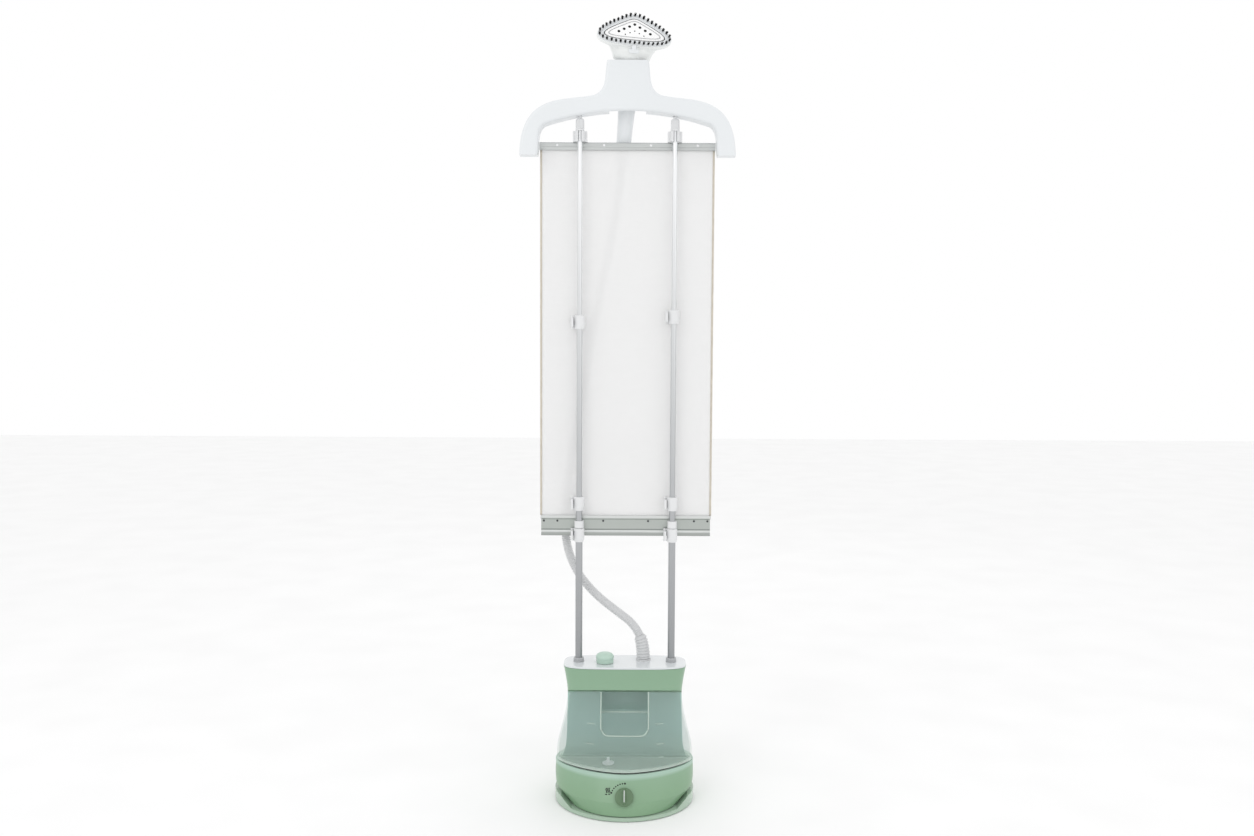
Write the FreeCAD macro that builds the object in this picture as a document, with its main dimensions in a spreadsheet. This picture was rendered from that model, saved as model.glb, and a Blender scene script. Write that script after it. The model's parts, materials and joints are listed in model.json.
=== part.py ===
import FreeCAD, Part
import math
import os
import Sketcher

# Upright garment steamer. Origin at the foot's centre on the floor, -Y is the front, +Z is up. Millimetres.

os.makedirs("parts", exist_ok=True)
doc = FreeCAD.newDocument("garment_steamer")
Vector = FreeCAD.Vector

DIMENSIONS = {
    # base
    "foot_radius": 139.2, "foot_bottom": 1.5, "foot_top": 8.5, "shoulder_top": 22, "shoulder_start": 117,
    "pad_radius": 12, "pad_height": 3.5, "pad_circle": 112, "screw_side": 60, "screw_front": 62,
    "screw_back": 40, "gland_height": 38, "gland_bore": 4, "wall": 3, "body_bottom": 10,
    "seat_top": 78, "seat_thick": 4, "bay_back": 10.3, "seam_side": 216, "seam_rise": 0.31,
    "deck_top": 276, "deck_thick": 3.5, "deck_half_width": 122.4, "deck_half_depth": 48.5,
    # tank
    "tank_bottom": 81, "tank_wall": 2.5, "tank_gap": 1.5, "recess_half_width": 46, "recess_bottom": 147,
    "recess_ledge": 189, "valve_side": 32, "valve_front": 50, "valve_radius": 12, "tank_mouth_radius": 6.5,
    # deck fittings
    "cap_side": 40, "cap_front": 10, "cap_radius": 18, "neck_radius": 7.5, "mouth_side": 58,
    "mouth_front": 27, "port_side": 37, "port_back": 13, "port_radius": 15,
    # dial
    "dial_radius": 18, "dial_front": 123.3, "dial_height": 43, "dial_tilt": 33, "dial_stand_off": 1.2,
    "dial_skirt": 2.6, "dial_crown": 1.8, "dial_grip": 6, "spindle_radius": 3,
    # mast
    "pole_pitch": 185.5, "lower_radius": 7, "tube_step": 0.8, "tube_wall": 0.7, "collar_radius": 10.5,
    "lower_tube_base": 74, "lower_collar": 519, "second_collar": 582, "third_collar": 942,
    "third_right_lift": 11, "collar_height": 27, "mast_top": 1340, "lever_reach": 14.2, "lever_back": 7,
    "pin_radius": 1.6, "pin_fit": 0.08,
    # board
    "rail_half_width": 172.4, "rail_front": 12.5, "rail_thick": 8.5, "bottom_rail_base": 529,
    "bottom_rail_top": 569.5, "top_rail_base": 1292.5, "top_rail_top": 1307, "cloth_half_width": 171,
    "cloth_middle": 17.5, "cloth_thick": 1.2, "binding_width": 4,
    # hanger and handset
    "hanger_half_width": 210.4, "hanger_depth": 36, "arm_width": 35, "arm_end": 1279, "arch_middle": 1364,
    "neck_top": 1460, "neck_half_width": 40, "hanger_wall": 3.5, "hanger_round": 6,
    "channel_half_width": 36, "channel_front": 12, "cradle_half_width": 40.2, "cradle_front": 14.3,
    "cradle_height": 1418, "cradle_thick": 7, "post_base": 1327, "post_radius": 8.7,
    "handset_roll": 5, "handset_pitch": 10.5, "handset_yaw": 7, "handset_side": -11.3,
    "handset_back": 48, "handset_base": 1266, "handle_wall": 2.2, "face_lean": 33, "face_front": 34,
    "face_height": 230, "face_middle": 37.6, "face_softness": 4.5,
    # hose
    "hose_radius": 8.2, "boot_radius": 13.2,
}

sheet = doc.addObject("Spreadsheet::Sheet", "Dims")
for row, (alias, number) in enumerate(DIMENSIONS.items(), start=1):
    sheet.set(f"A{row}", alias)
    sheet.set(f"B{row}", str(number))
    sheet.setAlias(f"B{row}", alias)
doc.recompute()


def value(text):
    """The number that an expression over the sheet gives."""
    found = sheet.evalExpression(text)
    return float(getattr(found, "Value", found))


def size(alias):
    return value(f"Dims.{alias}")


nodes = []


def node(label, item):
    """Gives a finished sub-part its label, which names its file."""
    item.Label = label
    nodes.append(item)
    return item


# ---- Part primitives bound to the sheet -------------------------------------------------------------------

def bind(item, at, **properties):
    for name, text in properties.items():
        item.setExpression(name, text)
    for axis, text in zip("xyz", at):
        item.setExpression(f"Placement.Base.{axis}", text)
    return item


def cylinder(name, radius, height, at):
    return bind(doc.addObject("Part::Cylinder", name), at, Radius=radius, Height=height)


def cone(name, low_radius, high_radius, height, at):
    return bind(doc.addObject("Part::Cone", name), at, Radius1=low_radius, Radius2=high_radius, Height=height)


def box(name, length, width, height, at):
    return bind(doc.addObject("Part::Box", name), at, Length=length, Width=width, Height=height)


def fuse(name, *items):
    joined = doc.addObject("Part::MultiFuse", name)
    joined.Shapes = list(items)
    joined.Refine = True
    return joined


def cut(name, base, *tools):
    made = doc.addObject("Part::Cut", name)
    made.Base = base
    made.Tool = tools[0] if len(tools) == 1 else fuse(f"{name}_tools", *tools)
    return made


def group(name, *items):
    """Separate identical solids that share one node."""
    made = doc.addObject("Part::Compound", name)
    made.Links = list(items)
    return made


def ring(name, outer, bore, height, at):
    hole = cylinder(f"{name}_bore", bore, f"{height} + 2", (at[0], at[1], f"{at[2]} - 1"))
    return cut(name, cylinder(f"{name}_outer", outer, height, at), hole)


def turned(item, axis, degrees):
    """Turns a primitive about its own base point."""
    item.Placement = FreeCAD.Placement(item.Placement.Base, FreeCAD.Rotation(axis, degrees))
    return item


def feature(name, shape):
    made = doc.addObject("Part::Feature", name)
    made.Shape = shape
    return made


# ---- PartDesign bodies ------------------------------------------------------------------------------------

def new_sketch(body, role, name):
    sketch = body.newObject("Sketcher::SketchObject", name)
    planes = [plane for plane in body.Origin.OriginFeatures if plane.Role == role]
    sketch.AttachmentSupport = (planes[0], [""])
    sketch.MapMode = "FlatFace"
    return sketch


def fix(sketch, kind, *where):
    text = where[-1]
    number = sketch.addConstraint(Sketcher.Constraint(kind, *where[:-1], value(text)))
    sketch.setExpression(f"Constraints[{number}]", text)


def outline(sketch, corners):
    """A closed outline of straight lines, each corner bound to the sheet."""
    first, count = sketch.GeometryCount, len(corners)
    places = [Vector(value(x), value(y), 0) for x, y in corners]
    for index in range(count):
        sketch.addGeometry(Part.LineSegment(places[index], places[(index + 1) % count]), False)
    for index in range(count):
        following = first + (index + 1) % count
        sketch.addConstraint(Sketcher.Constraint("Coincident", first + index, 2, following, 1))
    for index, (x, y) in enumerate(corners):
        fix(sketch, "DistanceX", -1, 1, first + index, 1, x)
        fix(sketch, "DistanceY", -1, 1, first + index, 1, y)


def circle(sketch, x, y, radius):
    made = Part.Circle(Vector(value(x), value(y), 0), Vector(0, 0, 1), value(radius))
    index = sketch.addGeometry(made, False)
    fix(sketch, "DistanceX", -1, 1, index, 3, x)
    fix(sketch, "DistanceY", -1, 1, index, 3, y)
    fix(sketch, "Radius", index, radius)


def bar(label, corners, low, high, along="YZ_Plane"):
    """A straight bar with a drawn section: along X by default, or upright from an XY section."""
    body = doc.addObject("PartDesign::Body", label)
    sketch = new_sketch(body, along, f"{label}_section")
    outline(sketch, corners)
    pad = body.newObject("PartDesign::Pad", f"{label}_pad")
    pad.Profile = sketch
    pad.setExpression("Length", f"({high}) - ({low})")
    axis = {"YZ_Plane": "x", "XY_Plane": "z"}[along]
    body.setExpression(f"Placement.Base.{axis}", low)
    return body


def turning(label, corners, at):
    """A turned piece: the outline is radius against height, revolved about its own upright axis."""
    body = doc.addObject("PartDesign::Body", label)
    sketch = new_sketch(body, "XZ_Plane", f"{label}_profile")
    outline(sketch, corners)
    made = body.newObject("PartDesign::Revolution", f"{label}_turn")
    made.Profile = sketch
    made.ReferenceAxis = (sketch, ["V_Axis"])
    made.Angle = 360
    for axis, text in zip("xyz", at):
        body.setExpression(f"Placement.Base.{axis}", text)
    return body


# ---- Smooth shells from a few sections --------------------------------------------------------------------

RING_POINTS = 40


def smooth_wire(points):
    curve = Part.BSplineCurve()
    curve.interpolate(points, PeriodicFlag=True)
    return Part.Wire(curve.toShape())


def power(number, exponent):
    return math.copysign(abs(number) ** exponent, number)


def section(height, half_width, front, back, front_power, back_power=2.6, inset=0.0, middle=0.0):
    """A level closed section whose front and back halves are superellipses about Y = middle."""
    points = []
    for index in range(RING_POINTS):
        angle = 2 * math.pi * (index + 0.5) / RING_POINTS
        rear = math.sin(angle) > 0
        depth = (back - middle if rear else front + middle) - inset
        exponent = 2 / (back_power if rear else front_power)
        x = (half_width - inset) * power(math.cos(angle), exponent)
        points.append(Vector(x, middle + depth * power(math.sin(angle), exponent), height))
    return smooth_wire(points)


def loft(wires, ruled=False):
    return Part.makeLoft(wires, True, ruled)


# height, half width, front depth, back depth, front power, back power, middle
LOWER_BEVEL = [(10, 111, 136, 86, 2.0, 2.0, -25), (33, 136.5, 129, 98, 1.9, 2.2, -8)]
LOWER_SIDES = [(33, 136.5, 129, 98, 1.9, 2.2, -8), (44, 138.4, 122.5, 98, 1.8, 2.2, -4),
               (60, 138.8, 111.5, 97, 1.72, 2.2, 0), (78, 138.6, 98, 95, 1.65, 2.2, 0)]
UPPER_SIDES = [(78, 131, 98, 93, 3, 2.3, 0), (90, 122.5, 92, 84, 3.4, 2.5, 0),
               (106, 118, 86, 77, 4, 2.7, 0), (130, 116, 76, 69, 4, 2.9, 0), (160, 115, 65, 60, 4, 3, 0),
               (190, 114.2, 54, 52, 4, 3.2, 0), (216, 114.2, 47.5, 48, 4, 3.6, 0),
               (235, 115.9, 46, 46.5, 4, 4, 0), (254, 118.9, 47, 47, 4, 4, 0),
               (272, 122.4, 48.5, 48.5, 4, 4, 0)]
TANK_SIDES = [(81, 138.6, 96.5, 60, 1.65, 2, 0), (100, 137.6, 89.5, 60, 1.8, 2, 0),
              (119, 134.9, 82, 60, 2, 2, 0), (146, 127.6, 71.5, 60, 2.4, 2, 0),
              (175, 120.2, 60.5, 60, 2.9, 2, 0), (202, 115.4, 51.5, 60, 3.5, 2, 0),
              (216, 114.4, 48, 60, 3.8, 2, 0), (236, 114.6, 46, 60, 4, 2, 0)]


def hull(rows, inset=0.0, ruled=False, lift=0.0):
    wires = [section(z + lift, a, f, b, fp, bp, inset, m) for z, a, f, b, fp, bp, m in rows]
    return loft(wires, ruled)


def slab(low, high, back=-400.0, front=400.0, side=400.0):
    """A wide block between two heights, used to trim the shells."""
    return Part.makeBox(2 * side, front - back, high - low, Vector(-side, back, low))


def bay(back, clearance):
    """The space in front of the upright column and under the tilted seam, where the tank stands."""
    top = size("seam_side") + clearance
    rise = size("seam_rise")
    corners = [Vector(-300, back, 0), Vector(-300, back, top - rise * back),
               Vector(-300, -300, top + rise * 300), Vector(-300, -300, 0), Vector(-300, back, 0)]
    return Part.Face(Part.makePolygon(corners)).extrude(Vector(600, 0, 0))


# ---- Foot -------------------------------------------------------------------------------------------------

PAD_ANGLES = [18, 90, 162, 234, 306]
SCREW_PLACES = [(x, y) for x in (-size("screw_side"), size("screw_side"))
                for y in (-size("screw_front"), size("screw_back"))]
SCREW_RADIUS = 2.0
SCREW_HEAD_RADIUS = 4.0
SCREW_HEAD_HEIGHT = 2.6


def pad_place(angle):
    turn = math.radians(angle)
    return Vector(size("pad_circle") * math.cos(turn), size("pad_circle") * math.sin(turn), 0)


def make_foot():
    """Round plate with a raised shoulder at each side, bosses under the body, and pockets for the pads."""
    lower_outer = hull(LOWER_BEVEL, -0.8, True)
    disc = Part.makeCylinder(size("foot_radius"), size("foot_top") - size("foot_bottom"),
                             Vector(0, 0, size("foot_bottom")))
    wall = Part.makeCylinder(size("foot_radius"), size("shoulder_top") - size("foot_top"),
                             Vector(0, 0, size("foot_top")))
    low_end, high_end = size("shoulder_start") - 14, size("shoulder_start") + 8
    slopes = [Vector(-low_end, -200, size("foot_top")), Vector(low_end, -200, size("foot_top")),
              Vector(high_end, -200, size("shoulder_top")), Vector(high_end, -200, 60),
              Vector(-high_end, -200, 60), Vector(-high_end, -200, size("shoulder_top")),
              Vector(-low_end, -200, size("foot_top"))]
    middle = Part.Face(Part.makePolygon(slopes)).extrude(Vector(0, 400, 0))
    shoulders = wall.cut(middle).cut(lower_outer).cut(slab(size("shoulder_top") - 2, 60, 60, 300))
    edge_cut = Part.makeBox(400, 300, 60, Vector(-200, 55, size("foot_top")))
    plate = disc.fuse(shoulders.cut(edge_cut)).removeSplitter()
    low, high = size("foot_bottom"), size("body_bottom")
    for angle in PAD_ANGLES:
        spot = pad_place(angle)
        plate = plate.cut(Part.makeCylinder(size("pad_radius"), size("pad_height") - low,
                                            Vector(spot.x, spot.y, low)))
    for x, y in SCREW_PLACES:
        plate = plate.fuse(Part.makeCylinder(9, high - size("foot_top"), Vector(x, y, size("foot_top"))))
        plate = plate.cut(Part.makeCylinder(SCREW_RADIUS + 0.3, 20, Vector(x, y, 0)))
        plate = plate.cut(Part.makeCylinder(SCREW_HEAD_RADIUS + 0.3, SCREW_HEAD_HEIGHT + 0.5, Vector(x, y, low)))
    return plate


pads = []
for number, angle in enumerate(PAD_ANGLES):
    spot_x = f"Dims.pad_circle * cos({angle} deg)"
    spot_y = f"Dims.pad_circle * sin({angle} deg)"
    pads.append(cylinder(f"pad_{number}", "Dims.pad_radius - 0.3", "Dims.pad_height", (spot_x, spot_y, "0")))
node("rubber_feet", group("rubber_feet", *pads))
node("foot_plate", feature("foot_plate", make_foot()))

foot_screws = []
for number, (x, y) in enumerate(SCREW_PLACES):
    head_base = "Dims.foot_bottom + 0.5"
    head = cylinder(f"foot_screw_{number}_head", f"{SCREW_HEAD_RADIUS}", f"{SCREW_HEAD_HEIGHT}",
                    (f"{x}", f"{y}", head_base))
    shank = cylinder(f"foot_screw_{number}_shank", f"{SCREW_RADIUS}", "16", (f"{x}", f"{y}", head_base))
    foot_screws.append(fuse(f"foot_screw_{number}", head, shank))
node("foot_screws", group("foot_screws", *foot_screws))

# ---- Lower body -------------------------------------------------------------------------------------------

DIAL_AXIS = Vector(0, -math.cos(math.radians(size("dial_tilt"))), math.sin(math.radians(size("dial_tilt"))))
DIAL_FACE = Vector(0, -size("dial_front"), size("dial_height"))


def on_dial(radius, start, length):
    """A round solid on the dial's axis, from start to start + length in front of the body's face."""
    return Part.makeCylinder(radius, length, DIAL_FACE + DIAL_AXIS * start, DIAL_AXIS)


def make_lower_body():
    wall = size("wall")
    outer = hull(LOWER_BEVEL, 0, True).fuse(hull(LOWER_SIDES))
    inner = hull(LOWER_BEVEL, wall, True).cut(slab(0, size("body_bottom") + wall))
    inner = inner.fuse(hull(LOWER_SIDES, wall))
    open_top = hull([(78, 138.6, 98, 95, 1.65, 2.2, 0), (90, 138.6, 98, 95, 1.65, 2.2, 0)], wall, True)
    inner = inner.fuse(open_top)
    body = outer.cut(inner)
    body = body.cut(on_dial(size("spindle_radius") + 0.5, -30, 60))
    for x, y in SCREW_PLACES:
        body = body.cut(Part.makeCylinder(SCREW_RADIUS + 0.05, 10, Vector(x, y, size("body_bottom") - 2)))
    return body.cut(Part.makeCylinder(8.2, 60, Vector(0, 70, size("gland_height")), Vector(0, 1, 0)))


node("lower_body", feature("lower_body", make_lower_body()))


def make_seat():
    """The plate that closes the lower body: the tank slides on it."""
    top, thick = size("seat_top"), size("seat_thick")
    row = LOWER_SIDES[-1][1:]
    plate = hull([(top - thick, *row), (top, *row)], size("wall") + 0.3, True)
    valve = Part.makeCylinder(16.1, 20, Vector(-size("valve_side"), -size("valve_front"), top - 10))
    pipe = Part.makeCylinder(7.3, 20, Vector(size("port_side"), size("port_back"), top - 10))
    for side in (-1, 1):
        pole = Part.makeCylinder(size("lower_radius") + 0.3, 20,
                                 Vector(side * size("pole_pitch") / 2, 0, top - 10))
        plate = plate.cut(pole)
    return plate.cut(valve).cut(pipe)


node("tank_seat", feature("tank_seat", make_seat()))

# ---- Upper body and deck ----------------------------------------------------------------------------------


CUP_PLACE = Vector(-size("cap_side"), -size("cap_front"), size("deck_top") - 2)
MOUTH_PLACE = Vector(-size("mouth_side"), -size("mouth_front"), size("seam_side"))


def along_neck(radius, before, after):
    """A round solid on the line from the cap's cup down to the tank's mouth, run on past each end."""
    direction = (MOUTH_PLACE - CUP_PLACE).normalize()
    length = (MOUTH_PLACE - CUP_PLACE).Length
    return Part.makeCylinder(radius, length + before + after, CUP_PLACE - direction * before, direction)


def make_upper_body():
    """Casing of the column: its front wall stands behind the tank, and the band above covers the tank."""
    wall = size("wall")
    back = -size("bay_back")
    outer = hull(UPPER_SIDES).cut(bay(back, 0))
    inner = hull(UPPER_SIDES, wall).cut(bay(back + wall, wall))
    ends = UPPER_SIDES[0][1:], UPPER_SIDES[-1][1:]
    below = hull([(70, *ends[0]), (78, *ends[0])], wall, True).cut(bay(back + wall, wall))
    above = hull([(272, *ends[1]), (280, *ends[1])], wall, True)
    neck = along_neck(size("neck_radius") + 0.3, 0, 20)
    return outer.cut(inner).cut(below).cut(above).cut(neck)


node("upper_body", feature("upper_body", make_upper_body()))


def make_deck():
    top, thick = size("deck_top"), size("deck_thick")
    row = (size("deck_half_width"), size("deck_half_depth"), size("deck_half_depth"), 4, 4, 0)
    low = hull([(top - thick, *row), (top - 0.8, *row)], 0.4, True)
    high = loft([section(top - 0.8, *row[:5], inset=0.4), section(top, *row[:5], inset=1.4)], True)
    plate = low.fuse(high).removeSplitter()
    for side in (-1, 1):
        plate = plate.cut(Part.makeCylinder(8.6, 20, Vector(side * size("pole_pitch") / 2, 0, top - 10)))
    port = Part.makeCylinder(10.3, 20, Vector(size("port_side"), size("port_back"), top - 10))
    neck = Part.makeCylinder(15.3, 20, Vector(-size("cap_side"), -size("cap_front"), top - 10))
    return plate.cut(port).cut(neck)


node("deck", feature("deck", make_deck()))

SIDES = {"left": "-Dims.pole_pitch / 2", "right": "Dims.pole_pitch / 2"}

sockets = []
for side, centre in SIDES.items():
    profile = [("Dims.lower_radius + 0.05", "-18"), ("8.3", "-18"), ("8.3", "0"), ("10.6", "0"),
               ("10.6", "6.5"), ("9.6", "8.5"), ("Dims.lower_radius + 0.05", "8.5")]
    sockets.append(turning(f"pole_socket_{side}", profile, (centre, "0", "Dims.deck_top")))
node("pole_sockets", group("pole_sockets", *sockets))

# ---- Water cap and its neck -------------------------------------------------------------------------------

cap_at = ("-Dims.cap_side", "-Dims.cap_front", "Dims.deck_top")


def make_filler_neck():
    """A cup in the deck with a slanting tube that ends flush with the band's underside, over the tank."""
    low = size("deck_top") - 4.5
    cup = Part.makeCylinder(15, 7, Vector(CUP_PLACE.x, CUP_PLACE.y, low))
    cup_room = Part.makeCylinder(13.4, 8, Vector(CUP_PLACE.x, CUP_PLACE.y, low + 2))
    tube = along_neck(size("neck_radius"), 0, 20).cut(bay(0, 0)).cut(slab(size("deck_top"), 400))
    bore = along_neck(size("neck_radius") - 1.5, 0, 20)
    return cup.fuse(tube).cut(cup_room).cut(bore)


node("filler_neck", feature("filler_neck", make_filler_neck()))

cap_profile = [("0", "9"), ("12", "9"), ("12.8", "8"), ("12.8", "2.8"), ("16.2", "2.8"), ("16.6", "8.5"),
               ("Dims.cap_radius", "9.5"), ("Dims.cap_radius", "14.5"), ("Dims.cap_radius - 1.6", "17.6"),
               ("Dims.cap_radius - 5", "19.8"), ("Dims.cap_radius - 9", "20.8"), ("0", "21")]
cap = turning("filler_cap_turned", cap_profile, cap_at)
cap_rim = ring("cap_rim", "16.4", "15.4", "2.7", (cap_at[0], cap_at[1], "Dims.deck_top + 0.3"))
node("filler_cap", fuse("filler_cap", cap, cap_rim))

# ---- Hose port and boot -----------------------------------------------------------------------------------

port_at = ("Dims.port_side", "Dims.port_back", "Dims.deck_top")
port_profile = [("7.2", "-14"), ("10", "-14"), ("10", "0"), ("Dims.port_radius", "0"),
                ("Dims.port_radius", "2.4"), ("Dims.port_radius - 1", "3.4"), ("7.2", "3.4")]
node("hose_port", turning("hose_port", port_profile, port_at))

# ---- Dial -------------------------------------------------------------------------------------------------


def make_dial():
    """Round knob with a bevelled crown and an upright bar to grip."""
    radius, gap, skirt = size("dial_radius"), size("dial_stand_off"), size("dial_skirt")
    knob = on_dial(radius, gap, skirt)
    seat = DIAL_FACE + DIAL_AXIS * (gap + skirt)
    knob = knob.fuse(Part.makeCone(radius - 1.5, radius - 3.4, size("dial_crown"), seat, DIAL_AXIS))
    half_length = radius - 4.5
    grip = Part.makeBox(6.4, 2 * half_length, size("dial_grip"), Vector(-3.2, -half_length, 0))
    grip.Placement = FreeCAD.Placement(seat, FreeCAD.Rotation(Vector(0, 0, 1), DIAL_AXIS))
    fit = 0.05
    return knob.fuse(grip).removeSplitter().cut(on_dial(size("spindle_radius") + fit, -10, 14))


node("steam_dial", feature("steam_dial", make_dial()))
node("dial_spindle", feature("dial_spindle", on_dial(size("spindle_radius"), -22, 26)))

# ---- Inside the base --------------------------------------------------------------------------------------

valve_at = ("-Dims.valve_side", "-Dims.valve_front", "Dims.seat_top")
seat_profile = [("4", "-16"), ("8", "-16"), ("8", "-9.6"), ("15.8", "-7"), ("15.8", "0"), ("11", "0"),
                ("9", "-4"), ("4", "-6")]
node("valve_seat", turning("valve_seat", seat_profile, valve_at))

boiler_body = box("boiler_block", "86", "58", "26", ("-6", "-4", "26"))
boiler_lid = box("boiler_lid", "78", "50", "4", ("-2", "0", "52"))
boiler_leg_left = cylinder("boiler_leg_left", "4", "13", ("4", "25", "13.4"))
boiler_leg_right = cylinder("boiler_leg_right", "4", "13", ("70", "25", "13.4"))
node("boiler", fuse("boiler", boiler_body, boiler_lid, boiler_leg_left, boiler_leg_right))
node("thermostat", ring("thermostat", "8", "2", "6", ("62", "30", "56")))

feed_route = [Vector(-size("valve_side"), -size("valve_front"), 61.6),
              Vector(-size("valve_side"), -size("valve_front"), 40), Vector(-size("valve_side"), 20, 40),
              Vector(-6.4, 20, 40)]
pipe_route = [Vector(size("port_side"), size("port_back"), 56.4),
              Vector(size("port_side"), size("port_back"), 261.6)]


def bent_path(points, radius=None):
    """Straight runs joined by tangent arcs. Without a radius each arc is 0.45 of its shorter run."""
    edges = []
    start = points[0]
    radii = []
    for index in range(1, len(points) - 1):
        before, corner, after = points[index - 1], points[index], points[index + 1]
        into = (corner - before).normalize()
        away = (after - corner).normalize()
        half_turn = into.getAngle(away) / 2
        trim = 0.45 * min((corner - before).Length, (after - corner).Length)
        if radius:
            trim = radius * math.tan(half_turn)
        bend = trim / math.tan(half_turn)
        first, last = corner - into * trim, corner + away * trim
        inward = (away - into).normalize()
        middle = corner + inward * (bend / math.cos(half_turn) - bend)
        edges.append(Part.LineSegment(start, first).toShape())
        edges.append(Part.Arc(first, middle, last).toShape())
        start = last
        radii.append(bend)
    edges.append(Part.LineSegment(start, points[-1]).toShape())
    return Part.Wire(edges), radii


def tube_along(points, outer, bore=None, radius=None):
    path, radii = bent_path(points, radius)
    direction = (points[1] - points[0]).normalize()
    rings = []
    for size_of_ring in (outer, bore):
        if size_of_ring:
            edge = Part.Circle(points[0], direction, size_of_ring).toShape()
            rings.append(path.makePipeShell([Part.Wire(edge)], True, True))
    return (rings[0].cut(rings[1]) if bore else rings[0]), path, radii


node("feed_tube", feature("feed_tube", tube_along(feed_route, 3.6, 2.4, 9)[0]))
node("steam_pipe", feature("steam_pipe", tube_along(pipe_route, 6.8, 5)[0]))


def make_gland():
    """Bush that the power cord comes out of, in the lower body's back."""
    height = size("gland_height")
    back = LOWER_SIDES[0][3]
    bush = Part.makeCylinder(8, 18, Vector(0, back - 12, height), Vector(0, 1, 0))
    flange = Part.makeCylinder(11, 2.5, Vector(0, back + 0.1, height), Vector(0, 1, 0))
    bore = Part.makeCylinder(size("gland_bore"), 60, Vector(0, back - 30, height), Vector(0, 1, 0))
    return bush.fuse(flange).removeSplitter().cut(bore)


node("cord_gland", feature("cord_gland", make_gland()))

# ---- Water tank -------------------------------------------------------------------------------------------


def recess_tool(grow):
    """Grip recess: a slope that sinks into the tank's front, then a deeper pocket above a ledge."""
    side = size("recess_half_width") + grow
    low, ledge = size("recess_bottom") - grow, size("recess_ledge") - grow
    profile = [(-120, low - 6), (-70, low), (-44 + grow, low + 20), (-36 + grow, ledge),
               (-22 + grow, ledge), (-22 + grow, 300), (-120, 300), (-120, low - 6)]
    corners = [Vector(-side, y, z) for y, z in profile]
    tool = Part.Face(Part.makePolygon(corners)).extrude(Vector(2 * side, 0, 0))
    return tool


def make_tank():
    wall, gap = size("tank_wall"), size("tank_gap")
    back = -size("bay_back") - 3
    outer = hull(TANK_SIDES).common(bay(back, -gap)).cut(recess_tool(0))
    inner = hull(TANK_SIDES, wall).common(bay(back - wall, -gap - wall))
    inner = inner.cut(slab(0, size("tank_bottom") + wall)).cut(recess_tool(wall))
    shell = outer.cut(inner)
    for side in (-1, 1):
        shell = shell.fuse(Part.makeBox(4, 52, 2.9, Vector(side * 70 - 2, -66, size("seat_top") + 0.2)))
    mouth = Part.makeCylinder(size("tank_mouth_radius"), 60, MOUTH_PLACE - Vector(0, 0, 10))
    outlet = Part.makeCylinder(6, 20, Vector(-size("valve_side"), -size("valve_front"), 75))
    return shell.cut(mouth).cut(outlet).removeSplitter()


node("tank_shell", feature("tank_shell", make_tank()))

valve_profile = [("0", "-1.4"), ("5.7", "-1.4"), ("5.7", "3"), ("Dims.valve_radius", "3"),
                 ("Dims.valve_radius", "5"), ("4", "7"), ("2.5", "15"), ("0", "15.5")]
node("tank_valve", turning("tank_valve", valve_profile, (valve_at[0], valve_at[1], "Dims.tank_bottom")))

# ---- Mast -------------------------------------------------------------------------------------------------

# stage: bottom of its tube, top of its tube, base of the collar on its top
STAGES = {
    "lower": ("Dims.lower_tube_base", "Dims.lower_collar + 20", "Dims.lower_collar"),
    "second": ("250", "Dims.second_collar + 20", "Dims.second_collar"),
    "third": ("550", "Dims.third_collar + 20", "Dims.third_collar"),
    "top": ("880", "Dims.mast_top", None),
}


def collar(name, centre, base, tube_radius, next_radius):
    """Clamp collar on a tube's top, with two ears and the lever's pin between them."""
    grip = f"{tube_radius} + 0.05"
    bore = f"{next_radius} + 0.1"
    profile = [(grip, "0"), ("9", "0"), ("Dims.collar_radius", "7"), ("Dims.collar_radius", "25.5"),
               ("Dims.collar_radius - 1.5", "27"), (bore, "27"), (bore, "20.1"), (grip, "20.1")]
    barrel = turning(f"{name}_barrel", profile, (centre, "0", base))
    pin_x = f"{centre} - Dims.lever_reach"
    ears = []
    for level in ("1", "23.5"):
        reach = box(f"{name}_ear", "8", "5", "2.5", (f"{centre} - Dims.lever_reach", "4.5", f"{base} + {level}"))
        eye = cylinder(f"{name}_eye", "2.9", "2.5", (pin_x, "Dims.lever_back", f"{base} + {level}"))
        ears += [reach, eye]
    pin = cylinder(f"{name}_pin", "Dims.pin_radius", "24", (pin_x, "Dims.lever_back", f"{base} + 1.5"))
    bore_again = cylinder(f"{name}_clear", grip, "26", (centre, "0", f"{base} - 3"))
    return cut(name, fuse(f"{name}_solid", barrel, *ears, pin), bore_again)


def lever(name, centre, base):
    """Flip lever that lies along the collar's side and swings out about its pin."""
    pin_x = f"{centre} - Dims.lever_reach"
    low = f"{base} + 4"
    boss = cylinder(f"{name}_boss", "2.9", "19", (pin_x, "Dims.lever_back", low))
    plate = box(f"{name}_plate", "3.6", "19", "19",
                (f"{centre} - Dims.lever_reach - 1.3", "Dims.lever_back - 19.5", low))
    bore = cylinder(f"{name}_bore", "Dims.pin_radius + Dims.pin_fit", "30",
                    (pin_x, "Dims.lever_back", f"{base} - 1"))
    return cut(name, fuse(f"{name}_solid", boss, plate), bore)


for stage_number, (stage, (low, high, collar_base)) in enumerate(STAGES.items()):
    radius = f"Dims.lower_radius - {stage_number} * Dims.tube_step"
    for side, centre in SIDES.items():
        lift = " + Dims.third_right_lift" if (stage, side) == ("third", "right") else ""
        tube = ring(f"{stage}_tube_{side}", radius, f"{radius} - Dims.tube_wall", f"{high} - ({low})",
                    (centre, "0", low + lift))
        node(f"{stage}_tube_{side}", tube)
        if not collar_base:
            continue
        base = collar_base + lift
        inner_radius = f"{radius} - Dims.tube_step"
        node(f"{stage}_collar_{side}", collar(f"{stage}_collar_{side}", centre, base, radius, inner_radius))
        node(f"{stage}_lever_{side}", lever(f"{stage}_lever_{side}", centre, base))

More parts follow.
